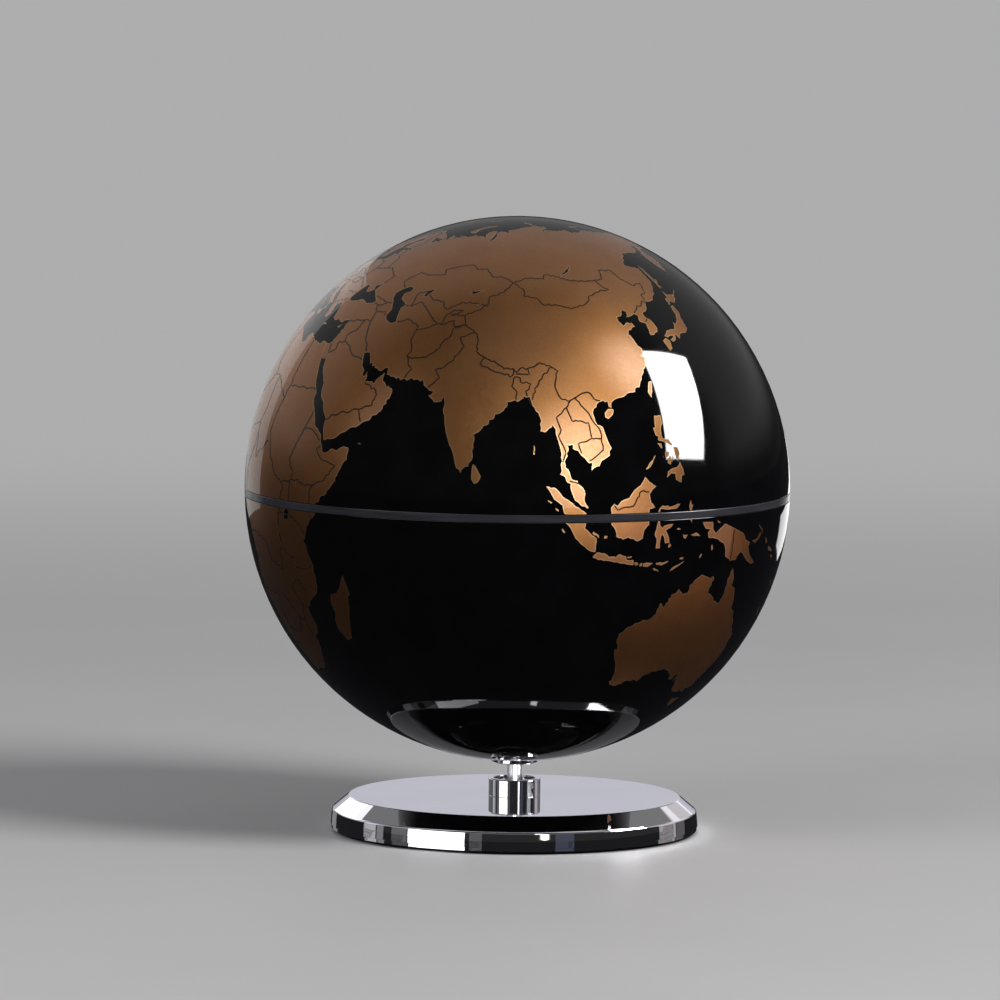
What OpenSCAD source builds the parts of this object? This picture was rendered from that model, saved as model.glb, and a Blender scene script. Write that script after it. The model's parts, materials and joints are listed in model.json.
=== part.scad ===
// Desktop globe on a stand: an acrylic ball of two shells on a short vertical
// pin, which turns in a ball bearing in the middle of a weighted chromed base.
// Millimetres, +Z up. The origin is the middle of the foot pad's underside.

/* [Ball] */
// Outer diameter of the ball
ball_d = 200; // [120:1:320]
// Wall thickness of the two shells
shell_wall = 2.6; // [1.8:0.1:5]
// Height of the joining ring that shows between the shells
seam_h = 2.8; // [1.6:0.1:6]
// How far the ring's tongues reach into each shell
tongue_h = 6; // [3:0.5:12]
// Wall thickness of the ring's tongues
tongue_wall = 2; // [1.2:0.1:4]
// Bevel on the ring's two outer edges
seam_bevel = 0.35; // [0.1:0.05:0.6]

/* [Pole fitting] */
// Diameter of the chromed flange under the ball
flange_d = 16.6; // [13:0.1:40]
// How far the flange stands out below the pole
flange_drop = 1; // [0.6:0.1:4]
// Diameter of the flange's spigot, which centres the lower shell
spigot_d = 8; // [6.5:0.1:12]
// Diameter of the backing plate inside the ball
backing_d = 44; // [20:1:70]
// Thickness of the backing plate at its middle
backing_t = 5; // [4.5:0.1:9]
// Outer diameter of the lock washer
lock_washer_d = 7.6; // [7:0.1:12]
// Thickness of the lock washer
lock_washer_t = 0.9; // [0.5:0.1:2]
// Width of the stud's nut across its flats
stud_nut_af = 7; // [6.5:0.1:12]
// Thickness of the stud's nut
stud_nut_t = 3.2; // [2:0.1:6]

/* [Spindle] */
// Diameter of the pin that shows between the base and the ball
pin_d = 5.2; // [4.8:0.1:9]
// Height of the gap between the collar and the flange
pin_gap = 5.7; // [2:0.1:40]
// Diameter of the spindle's journal and stud
journal_d = 4; // [3.4:0.1:4.4]
// Outer diameter of the spacer at the pin's foot
spacer_d = 5.8; // [5.2:0.1:6.2]
// How far the spacer stands up out of the collar
spacer_rise = 0.5; // [0:0.1:1.5]

/* [Base] */
// Outer diameter of the base
base_d = 135; // [90:1:220]
// Height of the base's upright wall
wall_h = 5.7; // [4.5:0.1:14]
// Width of the base's sloping rim, seen from above
rim_w = 6.7; // [2:0.1:20]
// Height of the base's sloping rim
rim_h = 5.2; // [3:0.1:12]
// Sheet thickness of the base cover
cover_t = 1.8; // [1:0.1:2.5]
// Thickness of the bottom plate
bottom_t = 1.1; // [0.8:0.1:3]
// How far the bottom plate's edge stands back from the wall
bottom_inset = 0.3; // [0:0.1:2]
// Thickness of the foam pad
pad_t = 1.2; // [0.8:0.1:5]
// How far the foam pad's edge stands back from the wall
pad_inset = 2.5; // [0.5:0.1:12]

/* [Bottom plate screws] */
// Number of screws in the bottom plate
screw_count = 3; // [3:1:6]
// Diameter of the screws' circle
screw_circle_d = 90; // [46:1:100]
// Diameter of a screw
screw_d = 4; // [2:0.1:5]
// Length of a screw above the bottom plate
screw_reach = 5; // [3:0.1:5.5]

/* [Collar] */
// Outer diameter of the collar's head
collar_d = 19.3; // [17.6:0.1:30]
// Height of the collar's head above the base
collar_h = 6.5; // [5:0.1:20]
// Radius on the head's outer top edge
collar_edge_r = 0.5; // [0.1:0.1:0.9]
// Diameter of the open recess over the bearing
recess_d = 15.4; // [12:0.1:15.8]
// Depth of the recess over the bearing
recess_depth = 2.5; // [0.5:0.1:4]
// Diameter of the collar's threaded shank
shank_d = 14; // [13.2:0.1:16]
// Width of the collar's nut across its flats
collar_nut_af = 19; // [17:0.1:24]
// Thickness of the collar's nut
collar_nut_t = 3.2; // [2:0.1:3.6]
// Outer diameter of the washer over the collar's nut
collar_washer_d = 24; // [20:0.1:40]
// Thickness of the washer over the collar's nut
collar_washer_t = 1; // [0.5:0.1:1.5]

/* [Bearing] */
// Outer diameter of the ball bearing
bearing_d = 11; // [11:0.1:12]
// Width of the ball bearing
bearing_w = 4; // [3.6:0.1:5]
// Number of bearing balls
bead_count = 7; // [5:1:8]
// Diameter of a bearing ball
bead_d = 1.9; // [1.4:0.05:2]
// Thickness of the two bearing shields
shield_t = 0.25; // [0.15:0.05:0.4]

/* [Lower bush and clip] */
// Outer diameter of the bronze bush under the bearing
bush_d = 7; // [6:0.1:7.6]
// Height of the free space between the bearing and the bush
bush_drop = 1.8; // [1:0.1:4]
// Diameter of the space for the clip at the shank's end
clip_bore_d = 10; // [9.2:0.1:11]
// Height of the space for the clip at the shank's end
clip_bore_h = 2.8; // [2.6:0.1:3.5]
// Outer diameter of the retaining clip
clip_d = 7.6; // [6:0.1:8.4]
// Thickness of the retaining clip
clip_t = 0.6; // [0.4:0.1:0.8]
// Depth of the clip's groove in the spindle
clip_groove = 0.4; // [0.2:0.05:0.7]
// Thickness of the thrust washer over the clip
thrust_t = 0.5; // [0.3:0.1:0.8]

/* [Hidden] */
$fn = 128;

// Clearances
run_gap = 0.04;      // radial, a shaft that turns in its hole
press_gap = 0.01;    // radial, a piece pressed into its seat
thread_gap = 0.05;   // radial, a screw in its hole or its countersink
pass_gap = 0.15;     // radial, a plain hole round a fixed shaft
end_play = 0.1;      // along the axis, at the thrust washer and the clip
tongue_gap = 0.1;    // radial, the ring's tongue in a shell
shield_gap = 0.12;   // radial, a bearing shield round the inner ring
cage_gap = 0.2;      // radial, the cage inside and outside
bead_gap = 0.03;     // a bearing ball in its grooves
pocket_gap = 0.05;   // a bearing ball in its cage pocket
ballast_gap = 0.5;   // radial, the ballast inside the sloping rim
nut_floor_gap = 0.4; // the collar's nut over the bottom plate
eps = 0.01;          // overlap of cutting bodies

// Radii
ball_r = ball_d / 2;
inner_r = ball_r - shell_wall;
base_r = base_d / 2;
flat_r = base_r - rim_w;
slope = atan2(rim_h, rim_w);
ceiling_r = flat_r - cover_t * tan(slope / 2);
journal_r = journal_d / 2;

// Radius of a tongue that reaches to this far from the ball's middle plane
function tongue_r(reach) = sqrt(inner_r * inner_r - reach * reach) - tongue_gap;

// Levels, from the table up
bottom_z = pad_t;
cover_z = bottom_z + bottom_t;
wall_top = cover_z + wall_h;
cover_top = wall_top + rim_h;
cover_ceiling = cover_top - cover_t;
collar_top = cover_top + collar_h;
spacer_top = collar_top + spacer_rise;
flange_z = collar_top + pin_gap;
ball_z = flange_z + flange_drop + ball_r;
backing_top = ball_z - inner_r + backing_t;
stud_nut_z = backing_top + lock_washer_t;
stud_tail = 1.5;
spindle_top = stud_nut_z + stud_nut_t + stud_tail;

// Inside the base
shank_end = cover_z + nut_floor_gap;
collar_washer_z = shank_end + collar_nut_t;
web_z = collar_washer_z + collar_washer_t;
nut_pocket_d = max(collar_washer_d, collar_nut_af / cos(30)) + 2;
bearing_top = collar_top - recess_depth;
bearing_z = bearing_top - bearing_w;
bush_z = shank_end + clip_bore_h;
bush_top = bearing_z - bush_drop;
thrust_z = bush_z - end_play - thrust_t;
clip_z = thrust_z - end_play / 2 - clip_t;
spindle_tail = 0.7;
spindle_z = clip_z - spindle_tail;

// Inside the bearing
bearing_r = bearing_d / 2;
bead_r = bead_d / 2;
pitch_r = (bearing_r + journal_r) / 2;
race_depth = 0.35;   // how deep a ball sits in each ring's groove
inner_land_r = pitch_r - bead_r + race_depth;
outer_land_r = pitch_r + bead_r - race_depth;
shield_seat = 0.25;  // how far a shield's rim reaches into the outer ring
shield_r = outer_land_r + shield_seat;
shield_inset = 0.1;  // how far a shield sits below the ring's face
cage_h = bead_d + 0.7;

// Colours
chrome = [0.78, 0.79, 0.82];
steel = [0.60, 0.61, 0.63];
acrylic = [0.06, 0.06, 0.07];

// A cylinder that stands on height z
module rod(z, h, r) {
    translate([0, 0, z]) cylinder(h = h, r = r);
}

// A ring round the axis that stands on height z
module ring(z, h, outer, inner) {
    difference() {
        rod(z, h, outer);
        rod(z - eps, h + 2 * eps, inner);
    }
}

// A hexagon nut with a round bore
module hex_nut(z, h, af, bore_r) {
    difference() {
        translate([0, 0, z]) cylinder(h = h, d = af / cos(30), $fn = 6);
        rod(z - eps, h + 2 * eps, bore_r);
    }
}

// Its children, repeated in a circle round the axis
module around(count, r) {
    for (i = [0 : count - 1]) rotate(i * 360 / count) translate([r, 0, 0]) children();
}

// The hollow ball, before it is cut into shells
module ball_wall() {
    translate([0, 0, ball_z]) difference() {
        sphere(r = ball_r);
        sphere(r = inner_r);
    }
}

// A block wider than the ball, from height z up
module slab(z, h) {
    translate([-ball_r - 1, -ball_r - 1, z]) cube([ball_d + 2, ball_d + 2, h]);
}

module upper_shell() {
    color(acrylic) intersection() {
        ball_wall();
        slab(ball_z, ball_r + 1);
    }
}

module lower_shell() {
    color(acrylic) difference() {
        intersection() {
            ball_wall();
            slab(ball_z - ball_r - 1, ball_r + 1 - seam_h);
        }
        rod(ball_z - ball_r - 1, shell_wall + 2, spigot_d / 2 + press_gap);
    }
}

// The ring's band shows in the seam, and its tongues line up the shells
module seam_ring() {
    band_top = ball_z;
    band_z = ball_z - seam_h;
    upper_r = tongue_r(tongue_h);
    lower_r = tongue_r(seam_h + tongue_h);
    inside = lower_r - tongue_wall;
    color([0.16, 0.16, 0.17]) {
        intersection() {
            translate([0, 0, ball_z]) sphere(r = ball_r);
            rotate_extrude() polygon([
                [inside, band_z],
                [ball_r - seam_bevel, band_z],
                [ball_r, band_z + seam_bevel],
                [ball_r, band_top - seam_bevel],
                [ball_r - seam_bevel, band_top],
                [inside, band_top]]);
        }
        ring(band_top - eps, tongue_h + eps, upper_r, inside);
        ring(band_z - tongue_h, tongue_h + eps, lower_r, inside);
    }
}

// The chromed flange hugs the pole, and its spigot goes through the shell
module pole_flange() {
    edge_r = min(0.3, flange_drop / 2);
    color(chrome) difference() {
        union() {
            difference() {
                rotate_extrude() union() {
                    translate([0, flange_z + edge_r]) square([flange_d / 2, flange_drop + 3]);
                    translate([0, flange_z]) square([flange_d / 2 - edge_r, edge_r + eps]);
                    translate([flange_d / 2 - edge_r, flange_z + edge_r]) circle(r = edge_r);
                }
                translate([0, 0, ball_z]) sphere(r = ball_r);
            }
            intersection() {
                rod(flange_z + flange_drop / 2, ball_r, spigot_d / 2);
                translate([0, 0, ball_z - ball_r - flange_drop])
                    cylinder(h = shell_wall + flange_drop, r = spigot_d);
            }
        }
        rod(flange_z - eps, ball_r, journal_r + pass_gap);
    }
}

// The plate's underside follows the inside of the lower shell
module backing_plate() {
    color(steel) difference() {
        intersection() {
            rod(ball_z - ball_r, ball_r, backing_d / 2);
            translate([0, 0, ball_z]) sphere(r = inner_r);
            rod(ball_z - ball_r, shell_wall + backing_t, ball_r);
        }
        rod(ball_z - ball_r - eps, ball_r, journal_r + pass_gap);
    }
}

module lock_washer() {
    slit = 0.8;
    color(steel) difference() {
        ring(backing_top, lock_washer_t, lock_washer_d / 2, journal_r + pass_gap);
        translate([0, -slit / 2, backing_top - eps])
            cube([lock_washer_d, slit, lock_washer_t + 2 * eps]);
    }
}

module stud_nut() {
    color(steel) hex_nut(stud_nut_z, stud_nut_t, stud_nut_af, journal_r + thread_gap);
}

// One turned piece: the journal, the pin that shows and the stud in the ball
module spindle() {
    tip = 0.4;
    color(chrome) difference() {
        union() {
            rod(spindle_z + tip, spindle_top - spindle_z - 2 * tip, journal_r);
            rod(spacer_top, flange_z - spacer_top, pin_d / 2);
            translate([0, 0, spindle_z]) cylinder(h = tip, r1 = journal_r - tip, r2 = journal_r);
            translate([0, 0, spindle_top - tip]) cylinder(h = tip, r1 = journal_r, r2 = journal_r - tip);
        }
        ring(clip_z - end_play / 4, clip_t + end_play / 2, journal_r + 1, journal_r - clip_groove);
    }
}

module spindle_spacer() {
    color(chrome) ring(bearing_top, spacer_top - bearing_top, spacer_d / 2, journal_r + run_gap);
}

// The ball groove that both bearing rings share
module race() {
    translate([0, 0, bearing_z + bearing_w / 2])
        rotate_extrude() translate([pitch_r, 0]) circle(r = bead_r + bead_gap, $fn = 48);
}

module bearing_inner_ring() {
    color(steel) difference() {
        ring(bearing_z, bearing_w, inner_land_r, journal_r + press_gap);
        race();
    }
}

module bearing_outer_ring() {
    seat_h = shield_inset + shield_t;
    color(steel) difference() {
        ring(bearing_z, bearing_w, bearing_r, outer_land_r);
        race();
        rod(bearing_z - eps, seat_h + eps, shield_r + press_gap);
        rod(bearing_top - seat_h, seat_h + eps, shield_r + press_gap);
    }
}

module bearing_shields() {
    inside = inner_land_r + shield_gap;
    color(steel) {
        ring(bearing_z + shield_inset, shield_t, shield_r, inside);
        ring(bearing_top - shield_inset - shield_t, shield_t, shield_r, inside);
    }
}

module bearing_balls() {
    color([0.7, 0.7, 0.72]) translate([0, 0, bearing_z + bearing_w / 2])
        around(bead_count, pitch_r) sphere(r = bead_r, $fn = 48);
}

module bearing_cage() {
    color([0.75, 0.58, 0.28]) translate([0, 0, bearing_z + bearing_w / 2]) difference() {
        ring(-cage_h / 2, cage_h, outer_land_r - cage_gap, inner_land_r + cage_gap);
        around(bead_count, inner_land_r) rotate([0, 90, 0])
            cylinder(h = bearing_r, r = bead_r + pocket_gap);
    }
}

module lower_bush() {
    color([0.72, 0.48, 0.26])
        ring(bush_z, bush_top - bush_z, bush_d / 2 - press_gap, journal_r + run_gap);
}

module thrust_washer() {
    color(steel) ring(thrust_z, thrust_t, clip_d / 2 + end_play, journal_r + pass_gap);
}

// A spring clip, open on one side, in the spindle's groove
module retaining_clip() {
    color(steel) difference() {
        ring(clip_z, clip_t, clip_d / 2, journal_r - clip_groove + press_gap);
        translate([0, -journal_r * 0.7, clip_z - eps])
            cube([clip_d, journal_r * 1.4, clip_t + 2 * eps]);
    }
}

// The collar's head stands on the cover, and its shank clamps the base together
module bearing_collar() {
    head_r = collar_d / 2;
    color(chrome) difference() {
        union() {
            rotate_extrude() union() {
                translate([0, cover_top]) square([head_r, collar_h - collar_edge_r]);
                translate([0, cover_top]) square([head_r - collar_edge_r, collar_h]);
                translate([head_r - collar_edge_r, collar_top - collar_edge_r])
                    circle(r = collar_edge_r);
            }
            rod(shank_end, cover_top - shank_end + eps, shank_d / 2);
        }
        rod(bearing_top, recess_depth + eps, recess_d / 2);
        rod(bearing_z, bearing_w + eps, bearing_r + press_gap);
        rod(shank_end, collar_top - shank_end, bush_d / 2);
        rod(shank_end - eps, clip_bore_h + eps, clip_bore_d / 2);
    }
}

module collar_washer() {
    color(steel) ring(collar_washer_z, collar_washer_t, collar_washer_d / 2, shank_d / 2 + pass_gap);
}

module collar_nut() {
    color(steel) hex_nut(shank_end, collar_nut_t, collar_nut_af, shank_d / 2 + thread_gap);
}

// The cover's outline: upright wall, sloping rim and flat top. The inner
// outline keeps the same thickness behind each face. Each edge is broken.
module base_cover() {
    edge = min(0.3, rim_w / 8, rim_h / 8);
    color(chrome) difference() {
        rotate_extrude() polygon([
            [0, cover_z],
            [base_r - edge / 2, cover_z],
            [base_r, cover_z + edge / 2],
            [base_r, wall_top - edge],
            [base_r - edge * cos(slope), wall_top + edge * sin(slope)],
            [flat_r + edge * cos(slope), cover_top - edge * sin(slope)],
            [flat_r - edge, cover_top],
            [0, cover_top]]);
        rotate_extrude() polygon([
            [0, cover_z - eps],
            [base_r - cover_t, cover_z - eps],
            [base_r - cover_t, wall_top - cover_t * cos(slope) / (1 + sin(slope))],
            [ceiling_r, cover_ceiling],
            [0, cover_ceiling]]);
        rod(cover_ceiling - eps, cover_t + 2 * eps, shank_d / 2 + pass_gap);
    }
}

// A cast disc that fills the cover, with a pocket for the collar's nut
module ballast_weight() {
    color([0.22, 0.22, 0.23]) difference() {
        rod(cover_z, cover_ceiling - cover_z, ceiling_r - ballast_gap);
        rod(cover_z - eps, cover_ceiling, shank_d / 2 + pass_gap);
        rod(cover_z - eps, web_z - cover_z + eps, nut_pocket_d / 2);
        around(screw_count, screw_circle_d / 2)
            rod(cover_z - eps, screw_reach + 0.5 + eps, screw_d / 2 + thread_gap);
    }
}

// Each screw's countersunk head is as deep as the bottom plate
module bottom_plate() {
    color(chrome) difference() {
        rod(bottom_z, bottom_t, base_r - bottom_inset);
        around(screw_count, screw_circle_d / 2) {
            rod(bottom_z - eps, bottom_t + 2 * eps, screw_d / 2 + thread_gap);
            translate([0, 0, bottom_z]) screw_head(thread_gap);
        }
    }
}

// A flat countersunk head, wider by gap all round
module screw_head(gap) {
    cylinder(h = bottom_t, r1 = screw_d / 2 + bottom_t + gap, r2 = screw_d / 2 + gap);
}

module plate_screws() {
    color(steel) around(screw_count, screw_circle_d / 2) {
        translate([0, 0, bottom_z]) screw_head(0);
        rod(bottom_z + bottom_t - eps, screw_reach + eps, screw_d / 2);
    }
}

module foot_pad() {
    color([0.05, 0.05, 0.05]) rod(0, pad_t, base_r - pad_inset);
}

upper_shell();
lower_shell();
seam_ring();
pole_flange();
backing_plate();
lock_washer();
stud_nut();
spindle();
spindle_spacer();
bearing_inner_ring();
thrust_washer();
retaining_clip();
bearing_balls();
bearing_cage();
bearing_outer_ring();
bearing_shields();
lower_bush();
bearing_collar();
collar_washer();
collar_nut();
base_cover();
ballast_weight();
bottom_plate();
plate_screws();
foot_pad();
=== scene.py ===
"""Looks of the desktop globe. Metres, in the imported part's frame: +Z up, -Y is the front."""

import json
import math

import bpy
from mathutils import Matrix, Vector
from mathutils.geometry import delaunay_2d_cdt

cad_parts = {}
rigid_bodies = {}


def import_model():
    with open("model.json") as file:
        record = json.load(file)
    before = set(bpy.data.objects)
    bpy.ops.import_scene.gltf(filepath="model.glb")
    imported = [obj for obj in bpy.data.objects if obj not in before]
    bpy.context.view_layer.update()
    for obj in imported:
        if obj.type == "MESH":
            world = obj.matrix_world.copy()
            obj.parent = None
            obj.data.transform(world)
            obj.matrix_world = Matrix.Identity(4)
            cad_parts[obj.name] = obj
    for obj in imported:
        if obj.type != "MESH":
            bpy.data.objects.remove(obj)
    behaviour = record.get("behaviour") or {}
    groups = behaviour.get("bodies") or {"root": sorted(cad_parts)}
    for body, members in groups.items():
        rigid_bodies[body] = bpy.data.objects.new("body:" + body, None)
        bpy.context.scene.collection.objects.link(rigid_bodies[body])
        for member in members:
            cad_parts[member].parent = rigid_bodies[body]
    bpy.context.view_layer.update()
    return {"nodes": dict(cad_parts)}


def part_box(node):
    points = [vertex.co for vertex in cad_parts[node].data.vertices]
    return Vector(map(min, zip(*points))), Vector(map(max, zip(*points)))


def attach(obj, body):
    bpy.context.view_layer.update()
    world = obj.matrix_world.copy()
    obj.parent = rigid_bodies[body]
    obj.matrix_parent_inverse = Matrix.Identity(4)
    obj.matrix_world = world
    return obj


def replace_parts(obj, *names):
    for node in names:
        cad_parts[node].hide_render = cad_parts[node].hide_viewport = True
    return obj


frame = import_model()
MM = 0.001

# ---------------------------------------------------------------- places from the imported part
upper_low, upper_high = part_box("upper_shell")
lower_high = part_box("lower_shell")[1]
collar_low, collar_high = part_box("bearing_collar")
bearing_low, bearing_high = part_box("bearing_outer_ring")
cover_low, cover_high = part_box("base_cover")
pad_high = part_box("foot_pad")[1]

BOX_GAP = 0.01 * MM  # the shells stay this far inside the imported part's box
middle_z = upper_low.z  # the ball's middle plane
middle = Vector((0, 0, middle_z))
shell_r = upper_high.y - BOX_GAP
seam_h = middle_z - lower_high.z
seam_angle = math.degrees(math.asin(seam_h / shell_r))

# ---------------------------------------------------------------- the world map, degrees east and north
# Eurasia, clockwise from Port Said. The Black Sea and the Caspian are cut out as inland water.
EURASIA = [
    # Levant, Asia Minor and the Aegean
    (32.4, 31.2), (34.2, 31.3), (34.9, 32.6), (35.6, 34.2), (35.8, 35.6), (36.1, 36.8), (34.6, 36.7),
    (33.7, 36.2), (32.4, 36.1), (30.7, 36.8), (29.2, 36.3), (27.6, 36.9), (26.9, 38.4), (26.2, 39.4),
    (26.2, 40.3), (24.6, 40.9), (23.9, 40.1), (22.8, 40.4), (23.0, 39.1), (24.0, 37.8), (22.8, 36.6),
    (21.7, 36.9), (21.2, 38.3), (20.0, 39.7), (19.4, 41.2), (18.2, 42.5), (15.9, 43.6), (14.3, 45.2),
    # Italy, France and Iberia
    (13.6, 45.7), (12.3, 45.2), (12.5, 44.1), (13.7, 43.4), (14.6, 42.3), (16.1, 41.8), (18.4, 40.1),
    (17.0, 40.5), (16.7, 39.6), (17.1, 38.9), (16.0, 37.9), (15.8, 39.9), (14.2, 40.8), (12.2, 41.7),
    (10.4, 43.2), (8.9, 44.4), (7.4, 43.7), (4.8, 43.4), (3.1, 43.1), (3.2, 42.0), (0.8, 40.8),
    (-0.3, 39.4), (0.1, 38.7), (-0.8, 37.6), (-2.2, 36.8), (-5.4, 36.1), (-6.4, 36.9), (-8.9, 37.0),
    (-9.4, 38.8), (-8.7, 41.0), (-9.2, 43.1), (-7.9, 43.7), (-1.8, 43.4), (-1.2, 45.5), (-2.4, 47.4),
    (-4.7, 48.1), (-4.5, 48.7), (-1.8, 48.7), (-1.8, 49.7), (0.3, 49.6), (1.7, 50.9), (4.2, 52.2),
    # Denmark, the Baltic and Scandinavia
    (5.0, 53.3), (8.4, 53.8), (8.1, 55.6), (8.3, 57.0), (10.6, 57.7), (10.9, 56.4), (9.8, 55.0),
    (11.0, 54.2), (14.2, 54.0), (16.6, 54.6), (18.8, 54.5), (21.0, 55.4), (21.6, 57.5), (24.2, 57.2),
    (23.5, 59.1), (28.0, 59.7), (30.0, 60.0), (27.0, 60.5), (22.9, 59.9), (21.3, 61.0), (21.6, 63.0),
    (25.2, 65.0), (23.8, 65.8), (21.7, 65.0), (20.8, 63.8), (17.3, 61.8), (18.6, 60.0), (16.6, 58.5),
    (15.9, 56.1), (14.2, 55.5), (12.8, 55.5), (11.3, 58.9), (10.5, 59.4), (8.2, 58.1), (5.7, 58.8),
    (5.0, 61.2), (8.6, 63.4), (11.3, 64.9), (13.3, 67.0), (16.0, 68.6), (19.5, 69.9), (25.8, 71.1),
    (30.0, 70.5), (30.2, 69.7), (33.5, 69.3),
    # The Kola peninsula to Novaya Zemlya
    (38.0, 68.3), (41.2, 67.2), (40.6, 66.3), (37.0, 66.2), (32.6, 67.1), (34.6, 65.4), (34.9, 64.3),
    (38.0, 64.0), (37.0, 65.1), (40.0, 64.6), (40.0, 65.7), (42.3, 66.5), (44.1, 65.9), (43.8, 67.2),
    (43.4, 68.6), (46.0, 68.2), (46.4, 66.9), (50.0, 68.0), (53.9, 68.9), (54.5, 68.3), (57.8, 68.6),
    (60.5, 69.8), (61.0, 68.9), (65.0, 69.2), (68.3, 68.3), (66.8, 69.7), (66.8, 71.2), (69.0, 72.8),
    (72.8, 72.8), (72.6, 71.0), (72.6, 69.0), (71.8, 66.6), (73.9, 67.0), (74.5, 69.0), (73.6, 71.4),
    (75.2, 72.8), (78.5, 72.3), (82.0, 71.8), (80.6, 73.5), (87.0, 74.6), (93.0, 76.0), (99.0, 76.4),
    # Taymyr to the Bering Strait
    (104.2, 77.7), (107.5, 76.6), (112.8, 76.4), (113.5, 75.3), (109.0, 74.2), (105.5, 72.8),
    (110.0, 73.9), (114.0, 73.5), (119.0, 73.0), (123.5, 73.2), (127.0, 73.5), (129.5, 71.3),
    (132.0, 71.8), (137.0, 71.4), (140.0, 72.5), (146.0, 72.4), (150.5, 71.5), (153.0, 70.9),
    (159.5, 70.6), (161.0, 69.5), (168.0, 69.9), (170.3, 69.1), (171.0, 70.1), (177.0, 69.8),
    (181.5, 68.6), (186.0, 67.1), (190.2, 66.1), (187.2, 64.6), (184.0, 64.6), (181.5, 66.0),
    (178.5, 64.6), (177.4, 64.7), (179.6, 62.8), (177.0, 62.4), (173.0, 61.5), (170.3, 60.0),
    # Kamchatka and the Sea of Okhotsk
    (166.0, 60.2), (163.6, 59.6), (163.2, 58.0), (162.0, 57.8), (163.2, 56.2), (161.9, 54.8),
    (159.9, 53.1), (158.2, 52.0), (156.7, 51.0), (155.6, 54.0), (155.8, 56.8), (157.3, 58.0),
    (161.9, 60.4), (163.8, 61.6), (164.6, 62.5), (160.6, 61.8), (159.8, 60.8), (155.0, 59.3),
    (151.5, 59.0), (148.8, 59.5), (142.6, 59.2), (138.6, 57.0), (135.3, 54.8), (138.0, 53.8),
    (141.2, 53.2), (140.5, 50.8), (140.4, 48.6), (138.4, 46.3), (135.8, 44.2), (133.1, 42.8),
    # Korea and China
    (131.2, 43.0), (130.4, 42.2), (129.7, 40.9), (127.5, 39.8), (127.5, 39.2), (128.5, 38.4),
    (129.4, 37.0), (129.4, 35.6), (128.6, 35.0), (126.4, 34.4), (126.5, 36.4), (126.7, 37.3),
    (124.9, 37.9), (125.1, 39.4), (124.3, 39.9), (121.7, 38.9), (121.2, 39.2), (122.2, 40.5),
    (121.0, 40.8), (119.4, 39.5), (117.8, 39.1), (118.1, 38.2), (119.1, 37.3), (120.8, 37.8),
    (122.5, 37.3), (122.3, 36.9), (120.3, 36.0), (119.3, 35.0), (120.3, 34.2), (121.0, 32.6),
    (121.9, 31.8), (121.9, 30.9), (120.9, 30.3), (122.0, 29.8), (121.4, 28.3), (119.9, 26.5),
    (118.6, 24.6), (116.8, 23.3), (114.4, 22.5), (113.2, 22.1), (110.6, 21.3), (110.4, 20.3),
    (109.8, 20.5), (109.7, 21.5), (108.1, 21.5),
    # Indochina and the Malay peninsula
    (106.7, 20.6), (105.8, 19.0), (106.6, 17.6), (108.2, 16.1), (109.1, 14.0), (109.4, 12.7),
    (109.0, 11.4), (107.2, 10.4), (106.6, 9.5), (104.9, 8.6), (104.9, 9.9), (103.6, 10.6),
    (102.7, 12.0), (101.0, 12.7), (100.9, 13.4), (100.0, 13.3), (99.9, 11.9), (99.3, 10.3),
    (99.4, 9.2), (100.3, 8.3), (100.7, 7.0), (102.2, 6.2), (103.4, 4.7), (103.5, 2.8), (104.2, 1.4),
    (103.4, 1.4), (101.4, 2.8), (100.5, 4.4), (100.3, 6.1), (99.6, 6.8), (98.4, 7.9), (98.6, 9.8),
    (98.7, 11.8), (98.0, 14.0), (97.6, 16.3), (96.9, 17.2), (96.2, 16.4), (95.2, 15.8), (94.3, 16.0),
    # The Bay of Bengal and India
    (94.5, 17.9), (93.8, 19.3), (92.4, 20.7), (91.8, 22.3), (90.6, 22.6), (90.3, 21.8), (88.2, 21.6),
    (87.0, 21.4), (86.9, 20.5), (86.2, 19.9), (85.0, 19.3), (83.4, 17.8), (82.2, 16.7), (81.1, 15.9),
    (80.1, 15.2), (80.2, 13.3), (79.8, 11.6), (79.8, 10.3), (78.9, 9.4), (78.1, 8.8), (77.6, 8.1),
    (76.6, 8.9), (75.8, 11.3), (74.8, 13.2), (73.9, 15.4), (73.2, 17.2), (72.8, 19.1), (72.7, 21.0),
    (72.5, 22.2), (72.1, 21.3), (70.9, 20.8), (69.0, 22.3), (70.3, 22.9), (68.7, 23.3), (67.4, 24.2),
    # Makran and the Persian Gulf
    (66.7, 25.0), (64.5, 25.3), (61.6, 25.1), (58.8, 25.5), (57.2, 25.9), (56.9, 27.1), (54.6, 26.6),
    (52.6, 27.4), (51.3, 28.0), (50.7, 29.2), (50.0, 30.1), (48.7, 30.2), (48.0, 29.9), (48.2, 28.8),
    (49.3, 27.4), (50.1, 26.4), (50.2, 25.5), (50.8, 24.8), (50.8, 25.6), (51.2, 26.1), (51.5, 25.3),
    (51.5, 24.4), (54.1, 24.2), (55.5, 25.5), (56.3, 26.3), (56.4, 24.7), (57.4, 23.8), (58.8, 23.5),
    # Arabia and Sinai
    (59.8, 22.4), (58.6, 20.4), (57.8, 18.9), (56.4, 18.0), (55.1, 17.1), (52.2, 15.6), (49.2, 14.5),
    (47.5, 13.6), (45.0, 12.8), (43.5, 12.7), (42.9, 14.8), (42.6, 16.6), (41.0, 19.0), (39.1, 21.4),
    (38.6, 23.4), (37.1, 24.9), (35.3, 27.9), (34.7, 28.0), (34.9, 29.4), (34.3, 27.8), (33.2, 28.7),
    (32.6, 29.9),
]
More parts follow.
